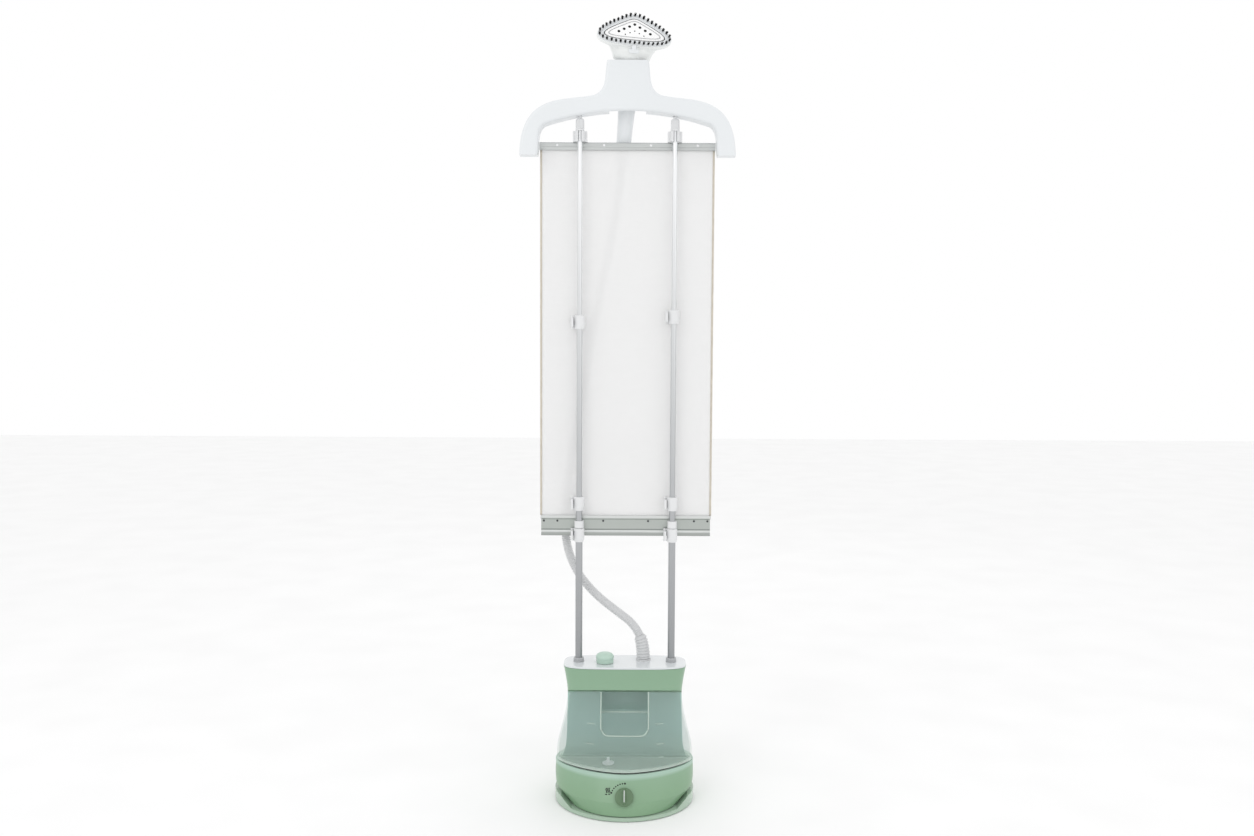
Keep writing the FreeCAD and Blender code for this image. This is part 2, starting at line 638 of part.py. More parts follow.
# ---- Pressing board ---------------------------------------------------------------------------------------

rail_back = "Dims.rail_front + Dims.rail_thick"
bottom_section = [
    ("Dims.rail_front", "Dims.bottom_rail_base"), (rail_back, "Dims.bottom_rail_base"),
    (rail_back, "Dims.bottom_rail_top"), ("Dims.cloth_middle + 1", "Dims.bottom_rail_top"),
    ("Dims.cloth_middle + 1", "Dims.bottom_rail_top - 8"), ("Dims.cloth_middle - 1", "Dims.bottom_rail_top - 8"),
    ("Dims.cloth_middle - 1", "Dims.bottom_rail_top"), ("Dims.rail_front", "Dims.bottom_rail_top"),
    ("Dims.rail_front", "Dims.bottom_rail_top - 6.5"), ("Dims.rail_front + 2", "Dims.bottom_rail_top - 8"),
    ("Dims.rail_front + 2", "Dims.bottom_rail_base + 13"), ("Dims.rail_front", "Dims.bottom_rail_base + 11"),
    ("Dims.rail_front", "Dims.bottom_rail_base + 8.5"), ("Dims.rail_front + 1", "Dims.bottom_rail_base + 7.5")]
top_section = [
    ("Dims.rail_front", "Dims.top_rail_base"), ("Dims.cloth_middle - 1", "Dims.top_rail_base"),
    ("Dims.cloth_middle - 1", "Dims.top_rail_base + 6"), ("Dims.cloth_middle + 1", "Dims.top_rail_base + 6"),
    ("Dims.cloth_middle + 1", "Dims.top_rail_base"), (rail_back, "Dims.top_rail_base"),
    (rail_back, "Dims.top_rail_top"), ("Dims.rail_front + 1", "Dims.top_rail_top"),
    ("Dims.rail_front", "Dims.top_rail_top - 1.5"), ("Dims.rail_front", "Dims.top_rail_base + 6"),
    ("Dims.rail_front + 0.8", "Dims.top_rail_base + 5.2")]


def screws(label, places, height, head_radius):
    """Pan-head screws let into a rail's front face."""
    made = []
    for number, x in enumerate(places):
        at = (f"{x}", "Dims.rail_front + 3.2", height)
        head = turned(cylinder(f"{label}_head_{number}", head_radius, "1.9", at), Vector(1, 0, 0), 90)
        made.append(head)
    return group(label, *made)


def drilled(label, rail, places, height, head_radius):
    holes = []
    for number, x in enumerate(places):
        at = (f"{x}", "Dims.rail_front + 3.2", height)
        holes.append(turned(cylinder(f"{label}_hole_{number}", f"{head_radius} + 0.05", "6", at),
                            Vector(1, 0, 0), 90))
    return cut(label, rail, *holes)


TOP_SCREWS = [-138, -46, 46, 138]
BOTTOM_SCREWS = [-164, -137, -45, 45, 137, 164]
half = "Dims.rail_half_width"
top_rail = bar("top_rail_bar", top_section, f"-{half}", half)
bottom_rail = bar("bottom_rail_bar", bottom_section, f"-{half} + 3", f"{half} - 3")
top_screw_height = "Dims.top_rail_base + 9.5"
bottom_screw_height = "Dims.bottom_rail_top - 11"
node("top_rail", drilled("top_rail", top_rail, TOP_SCREWS, top_screw_height, "2.4"))
node("top_rail_screws", screws("top_rail_screws", TOP_SCREWS, top_screw_height, "2.4"))
node("bottom_rail", drilled("bottom_rail", bottom_rail, BOTTOM_SCREWS, bottom_screw_height, "2"))
node("bottom_rail_screws", screws("bottom_rail_screws", BOTTOM_SCREWS, bottom_screw_height, "2"))

cloth_low, cloth_high = "Dims.bottom_rail_top - 7.5", "Dims.top_rail_base + 5.5"
node("press_cloth", box("press_cloth", "2 * Dims.cloth_half_width", "Dims.cloth_thick",
                        f"{cloth_high} - ({cloth_low})",
                        ("-Dims.cloth_half_width", "Dims.cloth_middle - Dims.cloth_thick / 2", cloth_low)))
strips = []
for side, low_x in (("left", "-Dims.cloth_half_width - 0.8"),
                    ("right", "Dims.cloth_half_width + 0.8 - Dims.binding_width")):
    at = (low_x, "Dims.cloth_middle - 1.6", "Dims.bottom_rail_top + 0.3")
    tall = "Dims.top_rail_base - Dims.bottom_rail_top - 0.6"
    outer = box(f"binding_{side}_outer", "Dims.binding_width", "3.2", tall, at)
    inner_x = f"{low_x} + 0.8" if side == "left" else f"{low_x} - 0.8"
    inner = box(f"binding_{side}_room", "Dims.binding_width", "Dims.cloth_thick",
                f"{tall} + 2", (inner_x, "Dims.cloth_middle - Dims.cloth_thick / 2",
                                "Dims.bottom_rail_top - 1"))
    strips.append(cut(f"binding_{side}", outer, inner))
node("cloth_bindings", group("cloth_bindings", *strips))

clips = []
for side, centre in SIDES.items():
    low = "Dims.lower_collar + Dims.collar_height + 1"
    eye = cylinder(f"clip_{side}_eye", "9.3", "14", (centre, "0", low))
    arm = box(f"clip_{side}_arm", "15", "Dims.rail_front + 2", "14", (f"{centre} - 7.5", "0", low))
    hole = cylinder(f"clip_{side}_hole", "Dims.lower_radius - Dims.tube_step + 0.05", "20",
                    (centre, "0", f"{low} - 1"))
    clips.append(cut(f"clip_{side}", fuse(f"clip_{side}_solid", eye, arm), hole))
node("rail_clips", group("rail_clips", *clips))

# ---- Mast head --------------------------------------------------------------------------------------------

top_radius = "Dims.lower_radius - 3 * Dims.tube_step"
brackets = []
for side, centre in SIDES.items():
    low = "Dims.top_rail_top"
    high = "Dims.post_base - 0.2"
    block = box(f"bracket_{side}_block", "28", f"{rail_back} - 1", f"{high} - {low}",
                (f"{centre} - 14", "1", low))
    cheek = cylinder(f"bracket_{side}_cheek", "10", f"{high} - {low}", (centre, "0", low))
    hole = cylinder(f"bracket_{side}_hole", f"{top_radius} + 0.05", "60", (centre, "0", f"{low} - 10"))
    slit = box(f"bracket_{side}_slit", "7", "14", "60", (f"{centre} - 3.5", "-14", f"{low} - 10"))
    brackets.append(cut(f"bracket_{side}", fuse(f"bracket_{side}_solid", block, cheek), hole, slit))
node("mast_brackets", group("mast_brackets", *brackets))

for side, centre in SIDES.items():
    profile = [(f"{top_radius} + 0.05", "0"), ("Dims.post_radius - 0.6", "0"), ("Dims.post_radius", "1.5"),
               ("Dims.post_radius - 0.4", "23"), ("Dims.post_radius - 2", "25"), ("4.6", "25.5"),
               ("4.6", "30"), ("0", "30"), ("0", "13.5"), (f"{top_radius} + 0.05", "13.5")]
    node(f"mast_cap_{side}", turning(f"mast_cap_{side}", profile, (centre, "0", "Dims.post_base")))

# ---- Hanger -----------------------------------------------------------------------------------------------


def mitred(corners, inset):
    """A closed outline whose corners each stand the same distance inside both their sides."""
    moved = []
    for index, corner in enumerate(corners):
        into = (corner - corners[index - 1]).normalize()
        away = (corners[(index + 1) % len(corners)] - corner).normalize()
        first, second = Vector(-into.z, 0, into.x), Vector(-away.z, 0, away.x)
        middle = (first + second).normalize()
        moved.append(corner - middle * (inset / middle.dot(first)))
    return moved


def hanger_face(depth_y, inset=0.0, taller=0.0):
    """The hanger's front outline: neck, falling shoulders, arms and the arch under them."""
    half_width, end = size("hanger_half_width"), size("arm_end")
    inner = half_width - size("arm_width")
    neck = [(size("neck_half_width"), size("neck_top") + taller), (43, 1434), (49, 1408), (66, 1394)]
    shoulder = [(118.6, 1387), (159.5, 1377), (185, 1359.5), (200, 1336), (207.5, 1310), (half_width, end)]
    inside = [(inner, end), (173, 1310), (169, 1328), (160, 1338)]
    right = [Vector(x, depth_y, z) for x, z in [*neck, *shoulder, *inside]]
    left = [Vector(-point.x, depth_y, point.z) for point in reversed(right)]
    right = mitred([*right, Vector(0, depth_y, size("arch_middle")), *left], inset)[:len(right) + 1]
    *right, arch_top = right

    def curve(first, last):
        line = Part.BSplineCurve()
        line.interpolate(right[first:last + 1])
        return line.toShape()

    neck_foot = len(neck) - 1
    arm_tip = neck_foot + len(shoulder)
    last = len(right) - 1
    edges = [curve(0, neck_foot), curve(neck_foot, arm_tip),
             Part.LineSegment(right[arm_tip], right[arm_tip + 1]).toShape(), curve(arm_tip + 1, last)]
    edges += [edge.mirror(Vector(0, 0, 0), Vector(1, 0, 0)) for edge in edges]
    across = Vector(-right[0].x, depth_y, right[0].z)
    edges.append(Part.LineSegment(across, right[0]).toShape())
    far_end = Vector(-right[last].x, depth_y, right[last].z)
    edges.append(Part.Arc(right[last], arch_top, far_end).toShape())
    return Part.Face(Part.Wire(Part.__sortEdges__(edges)))


def make_hanger():
    """Moulded shell with walls turned back, a post socket over each pole, and a channel for the handset."""
    depth, wall = size("hanger_depth"), size("hanger_wall")
    body = hanger_face(-depth / 2).extrude(Vector(0, depth, 0))
    front = [edge for edge in body.Edges if edge.BoundBox.YMax < -depth / 2 + 0.01
             and edge.BoundBox.ZMin < size("neck_top") - 1 and edge.Length > size("arm_width") + 1]
    body = body.makeFillet(size("hanger_round"), front)
    room = hanger_face(-depth / 2 + wall, wall, 12).extrude(Vector(0, depth, 0))
    shell = body.cut(room)
    channel_side, channel_front = size("channel_half_width"), size("channel_front")
    for side in (-1, 1):
        pole = side * size("pole_pitch") / 2
        boss = Part.makeCylinder(8, 40, Vector(pole, 0, 1340)).fuse(
            Part.makeBox(3, depth - 2, 60, Vector(pole - 1.5, -depth / 2 + 1, 1330)))
        shell = shell.fuse(boss.common(body))
        shell = shell.cut(Part.makeCylinder(4.65, 12, Vector(pole, 0, 1346)))
    channel = Part.makeBox(2 * channel_side, 60, 160, Vector(-channel_side, -channel_front, 1330))
    return shell.cut(channel).removeSplitter()


node("hanger", feature("hanger", make_hanger()))

# ---- Handset ----------------------------------------------------------------------------------------------

HANDSET = FreeCAD.Placement(
    Vector(size("handset_side"), size("handset_back"), size("handset_base")),
    FreeCAD.Rotation(Vector(0, 1, 0), size("handset_roll"))
    * FreeCAD.Rotation(Vector(1, 0, 0), size("handset_pitch"))
    * FreeCAD.Rotation(Vector(0, 0, 1), size("handset_yaw")))

# along the handle: height, half width, half depth, shift to the front
HANDLE_ROWS = [(0, 15.6, 16.6, 0), (8, 15, 16, 0), (45, 14.8, 15.6, 0), (85, 15.6, 16.4, 0),
               (115, 18, 18, 0), (150, 22, 19, 1)]
HEAD_ROWS = [(150.4, 22, 19, 1), (190, 28, 19.5, 1.5), (201, 30.2, 20, 1.8), (204, 36, 21, 2.5),
             (213, 38.5, 22.5, 3.2), (221, 43.5, 24, 4)]
FACE_BASE = Vector(0, -size("face_front"), size("face_height"))
FACE_UP = Vector(0, math.sin(math.radians(size("face_lean"))), math.cos(math.radians(size("face_lean"))))
FACE_OUT = Vector(0, -FACE_UP.z, FACE_UP.y)


def oval(row, inset=0.0):
    height, half_width, half_depth, shift = row
    points = []
    for index in range(RING_POINTS):
        angle = 2 * math.pi * (index + 0.5) / RING_POINTS
        points.append(Vector((half_width - inset) * math.cos(angle),
                             (half_depth - inset) * math.sin(angle) - shift, height))
    return smooth_wire(points)


# the face's outline: the direction that each of its five sides faces, and the side's distance from the middle
FACE_SIDES = [(-90, 33.6), (60.5, 28.6), (119.5, 28.6), (-20.5, 73), (200.5, 73)]


def three_corners(grow, depth):
    """A rounded triangle, apex up, in the plane of the sole plate and depth behind it."""
    softness = size("face_softness")
    points = []
    for index in range(RING_POINTS):
        angle = 2 * math.pi * (index + 0.5) / RING_POINTS
        total = sum(max(0.0, math.cos(angle - math.radians(normal)) / (reach + grow)) ** softness
                    for normal, reach in FACE_SIDES)
        radius = total ** (-1 / softness)
        across, up = radius * math.cos(angle), size("face_middle") + radius * math.sin(angle)
        points.append(FACE_BASE + Vector(across, 0, 0) + FACE_UP * up - FACE_OUT * depth)
    return smooth_wire(points)


def placed(label, shape):
    made = feature(label, shape)
    made.Placement = HANDSET
    return node(label, made)


def make_handle():
    wall = size("handle_wall")
    outer = loft([oval(row) for row in HANDLE_ROWS])
    rows = [(-1, *HANDLE_ROWS[0][1:]), *HANDLE_ROWS[1:-1], (151, *HANDLE_ROWS[-1][1:])]
    return outer.cut(loft([oval(row, wall) for row in rows]))


def make_head():
    """Solid that flares from the handle's oval to the sole plate's three corners."""
    front = three_corners(4, 6)
    rim = three_corners(4, 1.5)
    return loft([*[oval(row) for row in HEAD_ROWS], front, rim], True)


def make_brush():
    """Frame round the sole plate, with a tab under its middle to push it off."""
    frame = loft([three_corners(3.6, 1.2), three_corners(3.6, -1.4)], True)
    frame = frame.cut(loft([three_corners(-7, 3), three_corners(-7, -3)], True))
    tab = Part.makeBox(20, 2.6, 7.5, Vector(-10, -36.4, 215.5))
    stem = Part.makeBox(9, 2.6, 9, Vector(-4.5, -36.4, 222.5))
    return frame.fuse([stem, tab]).removeSplitter()


def make_tufts(count=36):
    """Tufts of bristle, evenly spaced round the frame and standing on its face."""
    line = three_corners(0, -1.5)
    spots = line.discretize(Number=count + 1)[:-1]
    return Part.makeCompound([Part.makeCone(1.2, 0.8, 5.5, spot, FACE_OUT) for spot in spots])


placed("handset_handle", make_handle())
placed("handset_head", make_head())
placed("sole_plate", loft([three_corners(-7.5, 1.2), three_corners(-7.5, -0.6), three_corners(-9, -1.6)], True))
placed("brush_ring", make_brush())
placed("brush_tufts", make_tufts())


def make_cradle():
    """U-shaped ledge in the hanger's channel that the handset's neck drops into."""
    height, thick = size("cradle_height"), size("cradle_thick")
    side, front = size("cradle_half_width"), size("cradle_front")
    ledge = Part.makeBox(2 * side, front + 16, thick, Vector(-side, -front, height))
    neck = loft([oval((140, 23.5, 20.5, 1)), oval((175, 27, 21.5, 1.5))], True)
    neck.Placement = HANDSET
    behind = neck.copy()
    behind.translate(Vector(0, 20, 0))
    return ledge.cut(neck).cut(behind)


node("cradle", feature("cradle", make_cradle()))

# ---- Hose -------------------------------------------------------------------------------------------------

hose_points = [
    Vector(37, 13, 280), Vector(36.5, 13.5, 302), Vector(29, 16, 329), Vector(12, 20, 352),
    Vector(-15, 25, 371), Vector(-57, 32, 402), Vector(-93, 38, 441), Vector(-116, 40, 488),
    Vector(-124, 40, 543), Vector(-122, 40, 605), Vector(-111, 41, 680), Vector(-97, 42, 757),
    Vector(-84, 42.5, 838), Vector(-72, 43, 918), Vector(-57, 44, 998), Vector(-39, 46, 1080),
    Vector(-26, 49, 1152), Vector(-16, 51.5, 1222), Vector(-8.8, 43, 1298), Vector(-2, 29, 1374)]
hose, hose_path, hose_radii = tube_along(hose_points, size("hose_radius"))
node("steam_hose", feature("steam_hose", hose))
expected = math.pi * size("hose_radius") ** 2 * hose_path.Length
print("hose length", round(hose_path.Length, 1), "volume ratio", round(hose.Volume / expected, 4))
print("hose radii", [round(radius) for radius in hose_radii])

boot_end = hose_points[1] + (hose_points[2] - hose_points[1]) * 0.8
boot = tube_along([hose_points[0], hose_points[1], boot_end], size("boot_radius"))[0]
boot = boot.cut(hose)
node("hose_boot", feature("hose_boot", boot))

# ---- Check and write --------------------------------------------------------------------------------------

doc.recompute()
for item in doc.Objects:
    if {"Invalid", "Error"} & set(item.State):
        raise RuntimeError(f"{item.Name} failed: {item.State}")
for item in nodes:
    if item.Shape.isNull() or not item.Shape.isValid():
        raise RuntimeError(f"{item.Label} has no valid shape")
for item in nodes:
    item.Shape.exportStep(os.path.join("parts", f"{item.Label}.step"))
print(len(nodes), "nodes written")
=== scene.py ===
import json
import math
import random

import bmesh
import bpy
from mathutils import Matrix, Vector
from mathutils.bvhtree import BVHTree


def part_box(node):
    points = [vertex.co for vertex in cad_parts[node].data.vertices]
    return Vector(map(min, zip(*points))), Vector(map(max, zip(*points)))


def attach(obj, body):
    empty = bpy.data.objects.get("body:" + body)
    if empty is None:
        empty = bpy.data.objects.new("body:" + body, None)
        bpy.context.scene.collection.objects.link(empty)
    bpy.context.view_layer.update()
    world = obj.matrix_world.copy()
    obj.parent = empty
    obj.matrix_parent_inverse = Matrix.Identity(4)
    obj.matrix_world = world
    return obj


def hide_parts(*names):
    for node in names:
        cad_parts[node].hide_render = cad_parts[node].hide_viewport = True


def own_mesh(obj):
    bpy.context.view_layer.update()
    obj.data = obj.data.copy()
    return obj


# Looks of the upright garment steamer, in metres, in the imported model's own frame: -Y is the front, +Z is up.

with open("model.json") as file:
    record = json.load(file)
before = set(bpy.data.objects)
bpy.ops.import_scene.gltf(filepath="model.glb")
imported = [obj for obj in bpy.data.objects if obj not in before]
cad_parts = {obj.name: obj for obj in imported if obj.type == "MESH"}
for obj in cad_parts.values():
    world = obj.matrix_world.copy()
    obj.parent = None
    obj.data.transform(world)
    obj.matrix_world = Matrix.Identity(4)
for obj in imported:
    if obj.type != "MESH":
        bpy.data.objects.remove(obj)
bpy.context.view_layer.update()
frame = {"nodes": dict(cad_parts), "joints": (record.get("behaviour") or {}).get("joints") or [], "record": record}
joints = {joint["name"]: joint for joint in frame["joints"]}
MM = 0.001
FLOOR_HALF = 8


# ---- Camera, stage and light ------------------------------------------------------------------------------

def make_camera():
    data = bpy.data.cameras.new("camera")
    data.lens = 35.0
    data.sensor_width = 36.0
    camera = bpy.data.objects.new("camera", data)
    pitch, roll = math.radians(85.763), math.radians(0.297)
    turn = Matrix.Rotation(pitch, 4, "X") @ Matrix.Rotation(roll, 4, "Z")
    camera.matrix_world = Matrix.Translation((0.0017, -2.41, 0.9453)) @ turn
    bpy.context.scene.collection.objects.link(camera)
    bpy.context.scene.camera = camera


def area_light(name, place, target, width, height, power):
    data = bpy.data.lights.new(name, "AREA")
    data.shape = "RECTANGLE"
    data.size, data.size_y, data.energy = width, height, power
    light = bpy.data.objects.new(name, data)
    light.location = place
    light.rotation_euler = (Vector(target) - Vector(place)).to_track_quat("-Z", "Y").to_euler()
    bpy.context.scene.collection.objects.link(light)


def make_lights():
    world = bpy.data.worlds.new("studio")
    world.use_nodes = True
    world.node_tree.nodes["Background"].inputs["Color"].default_value = (1.0, 1.0, 1.0, 1.0)
    world.node_tree.nodes["Background"].inputs["Strength"].default_value = 1.0
    bpy.context.scene.world = world
    area_light("key_light", (-1.6, -2.2, 2.6), (0, 0, 0.6), 1.6, 1.6, 9)
    area_light("fill_light", (2.2, -1.6, 1.6), (0, 0, 0.8), 1.8, 1.8, 3)
    area_light("back_light", (0.6, 2.4, 2.4), (0, 0, 0.8), 1.6, 1.6, 3)
    bpy.context.scene.view_settings.view_transform = "Standard"


# ---- Materials --------------------------------------------------------------------------------------------

def linear(red, green, blue):
    """A screen colour, each part 0 to 255, as the linear colour that shaders take."""
    parts = []
    for part in (red, green, blue):
        part /= 255
        parts.append(part / 12.92 if part <= 0.04045 else ((part + 0.055) / 1.055) ** 2.4)
    return (*parts, 1.0)


def shade(color, factor):
    return tuple(min(1.0, part * factor) for part in color[:3]) + (1.0,)


class Surface:
    """One procedural material: a Principled shader with noise driving its colour, roughness and bump."""

    def __init__(self, name, color, metallic=0.0, coat=0.0, sheen=0.0):
        self.material = bpy.data.materials.new(name)
        self.material.use_nodes = True
        self.tree = self.material.node_tree
        self.shader = self.tree.nodes["Principled BSDF"]
        self.color = color
        self.shader.inputs["Base Color"].default_value = color
        self.shader.inputs["Metallic"].default_value = metallic
        self.shader.inputs["Coat Weight"].default_value = coat
        self.shader.inputs["Coat Roughness"].default_value = 0.12
        self.shader.inputs["Sheen Weight"].default_value = sheen
        self.place = self.tree.nodes.new("ShaderNodeTexCoord")

    def add(self, kind, **inputs):
        node = self.tree.nodes.new(kind)
        for key, given in inputs.items():
            node.inputs[key.replace("_", " ")].default_value = given
        return node

    def link(self, source, target):
        self.tree.links.new(source, target)

    def noise(self, scale, stretch=(1, 1, 1), detail=3.0):
        mapping = self.add("ShaderNodeMapping", Scale=stretch)
        noise = self.add("ShaderNodeTexNoise", Scale=scale, Detail=detail)
        self.link(self.place.outputs["Object"], mapping.inputs["Vector"])
        self.link(mapping.outputs["Vector"], noise.inputs["Vector"])
        return noise.outputs["Fac"]

    def bands(self, direction, period):
        wave = self.add("ShaderNodeTexWave", Scale=math.pi / 10 / period, Distortion=0.3, Detail=1.0)
        wave.bands_direction = direction
        self.link(self.place.outputs["Object"], wave.inputs["Vector"])
        return wave.outputs["Fac"]

    def math(self, operation, first, second):
        node = self.tree.nodes.new("ShaderNodeMath")
        node.operation = operation
        for socket, given in zip(node.inputs, (first, second)):
            if isinstance(given, (int, float)):
                socket.default_value = given
            else:
                self.link(given, socket)
        return node.outputs[0]

    def spread(self, source, low, high, start=0.3, end=0.7):
        node = self.add("ShaderNodeMapRange", From_Min=start, From_Max=end, To_Min=low, To_Max=high)
        self.link(source, node.inputs["Value"])
        return node.outputs["Result"]

    def vary_color(self, source, low, high):
        ramp = self.tree.nodes.new("ShaderNodeValToRGB")
        ramp.color_ramp.elements[0].position = 0.3
        ramp.color_ramp.elements[1].position = 0.7
        ramp.color_ramp.elements[0].color = shade(self.color, low)
        ramp.color_ramp.elements[1].color = shade(self.color, high)
        self.link(source, ramp.inputs["Fac"])
        self.link(ramp.outputs["Color"], self.shader.inputs["Base Color"])
        return self

    def coordinate(self, axis):
        apart = self.add("ShaderNodeSeparateXYZ")
        self.link(self.place.outputs["Object"], apart.inputs["Vector"])
        return apart.outputs[axis]

    def grade_by_height(self, stops):
        """Colours that change along Z: stops are pairs of a height in metres and a colour."""
        low, high = stops[0][0], stops[-1][0]
        wobble = self.spread(self.noise(12), -0.004, 0.004)
        share = self.math("ADD", self.spread(self.coordinate("Z"), 0.0, 1.0, low, high), wobble)
        ramp = self.tree.nodes.new("ShaderNodeValToRGB")
        while len(ramp.color_ramp.elements) < len(stops):
            ramp.color_ramp.elements.new(0.5)
        for element, (height, color) in zip(ramp.color_ramp.elements, stops):
            element.position = (height - low) / (high - low)
            element.color = color
        self.link(share, ramp.inputs["Fac"])
        self.link(ramp.outputs["Color"], self.shader.inputs["Base Color"])
        return self

    def behind(self, limit, color):
        """One colour for all that is farther back than a limit in Y."""
        mix = self.tree.nodes.new("ShaderNodeMixRGB")
        mix.inputs["Color2"].default_value = color
        self.link(self.spread(self.coordinate("Y"), 0.0, 1.0, limit, limit + 0.5 * MM), mix.inputs["Fac"])
        front = self.shader.inputs["Base Color"].links[0].from_socket
        self.link(front, mix.inputs["Color1"])
        self.link(mix.outputs["Color"], self.shader.inputs["Base Color"])
        return self

    def vary_roughness(self, source, low, high):
        self.link(self.spread(source, low, high), self.shader.inputs["Roughness"])
        return self

    def bump(self, source, strength, distance):
        node = self.add("ShaderNodeBump", Strength=strength, Distance=distance)
        self.link(source, node.inputs["Height"])
        self.link(node.outputs["Normal"], self.shader.inputs["Normal"])
        return self


def plastic(name, color, rough=0.35, coat=0.0, grain=0.12):
    """Moulded plastic: a fine grain, with slow, faint changes of colour and gloss."""
    surface = Surface(name, color, coat=coat)
    slow = surface.noise(5, detail=1)
    surface.vary_color(slow, 0.985, 1.01)
    surface.vary_roughness(surface.noise(60, detail=5), rough - 0.03, rough + 0.04)
    return surface.bump(surface.noise(1500, detail=2), grain, 0.00005)


def metal(name, color, rough=0.3, stretch=(900, 900, 14)):
    """Drawn or extruded metal: fine lines along its length."""
    surface = Surface(name, color, metallic=1.0)
    lines = surface.noise(1.0, stretch, detail=4)
    surface.vary_color(lines, 0.9, 1.06)
    surface.vary_roughness(surface.noise(30), rough - 0.05, rough + 0.08)
    return surface.bump(lines, 0.12, 0.00005)


def edge_surface():
    """The tank's thicker edges, where its clear plastic looks paler."""
    surface = plastic("tank_edge", linear(208, 224, 214), 0.2, coat=0.3, grain=0.0)
    surface.shader.inputs["Alpha"].default_value = 0.6
    return surface


def cloth_surface():
    """Thin plain weave that lets a little of what is behind it show between its threads."""
    surface = Surface("cloth", linear(243, 243, 243), sheen=0.25)
    warp, weft = surface.bands("X", 0.0007), surface.bands("Z", 0.0007)
    weave = surface.math("MAXIMUM", warp, weft)
    slubs = surface.noise(40, (1, 1, 6), detail=4)
    surface.vary_color(slubs, 0.985, 1.0)
    surface.vary_roughness(slubs, 0.8, 0.95)
    opacity = surface.spread(weave, 0.68, 0.8, 0.0, 1.0)
    surface.link(opacity, surface.shader.inputs["Alpha"])
    return surface.bump(weave, 0.35, 0.0002)


def binding_surface():
    surface = Surface("binding", linear(205, 198, 184), sheen=0.3)
    twill = surface.math("ADD", surface.bands("Z", 0.0012), surface.bands("X", 0.0009))
    surface.vary_color(surface.noise(60, detail=4), 0.92, 1.05)
    surface.vary_roughness(surface.noise(80), 0.75, 0.95)
    return surface.bump(twill, 0.4, 0.0002)


def tank_surface():
    """Clear tinted plastic, frosted at its floor. A ray meets four faces, so each hides only a little."""
    surface = Surface("tank_clear", linear(172, 196, 186), coat=0.3)
    surface.grade_by_height([
        (0.0805, linear(206, 222, 212)), (0.0845, linear(206, 222, 212)), (0.088, linear(172, 193, 183)),
        (0.150, linear(168, 194, 188)), (0.231, linear(176, 197, 190))])
    surface.vary_roughness(surface.noise(9, detail=2), 0.05, 0.12)
    frost = surface.spread(surface.coordinate("Z"), 0.6, 0.19, 0.0835, 0.088)
    surface.link(frost, surface.shader.inputs["Alpha"])
    return surface.bump(surface.noise(20, detail=1), 0.05, 0.0005)


def bristle_surface():
    surface = Surface("bristle", linear(22, 22, 24))
    surface.vary_color(surface.noise(300), 0.7, 1.3)
    return surface.vary_roughness(surface.noise(500), 0.35, 0.55)


SURFACES = {
    "rubber": plastic("rubber", linear(45, 46, 46), 0.75),
    "foot_green": plastic("foot_green", linear(168, 190, 171), 0.22, coat=0.3, grain=0.05),
    "body_green": plastic("body_green", linear(139, 170, 143), 0.34, coat=0.15, grain=0.06),
    "deck_gloss": plastic("deck_gloss", linear(220, 224, 226), 0.12, coat=0.6, grain=0.03),
    "socket_grey": plastic("socket_grey", linear(172, 174, 176), 0.35, coat=0.3),
    "mint_plastic": plastic("mint_plastic", linear(184, 209, 195), 0.35),
    "hose_plastic": plastic("hose_plastic", linear(208, 209, 210), 0.45),
    "dark_plastic": plastic("dark_plastic", linear(16, 18, 17), 0.55),
    "bare_metal": metal("bare_metal", linear(185, 186, 188), 0.45, (60, 60, 60)),
    "copper": metal("copper", linear(196, 132, 98), 0.3),
    "tank_clear": tank_surface(),
    "white_plastic": plastic("white_plastic", linear(228, 231, 233), 0.36, coat=0.1, grain=0.06),
    "dial_green": plastic("dial_green", linear(92, 121, 89), 0.3, coat=0.2),
    # The poles' colour is painted lighter with height: a painted reflection, mid-grey low down and near-white at
    # the top.
    "aluminium": metal("aluminium", linear(208, 210, 212), 0.34).grade_by_height([
        (0.28, linear(158, 160, 162)), (0.55, linear(182, 184, 186)), (0.9, linear(212, 214, 215)),
        (1.33, linear(244, 245, 246))]),
    "collar_plastic": plastic("collar_plastic", linear(226, 227, 228), 0.4),
    "rail_aluminium": metal("rail_aluminium", linear(200, 203, 202), 0.38, (14, 900, 900)),
    "screw_steel": metal("screw_steel", linear(175, 176, 180), 0.3, (80, 80, 80)),
    "cloth": cloth_surface(),
    "binding": binding_surface(),
    "sole_ceramic": plastic("sole_ceramic", linear(248, 248, 248), 0.18, coat=0.4, grain=0.02),
    "bristle": bristle_surface(),
}


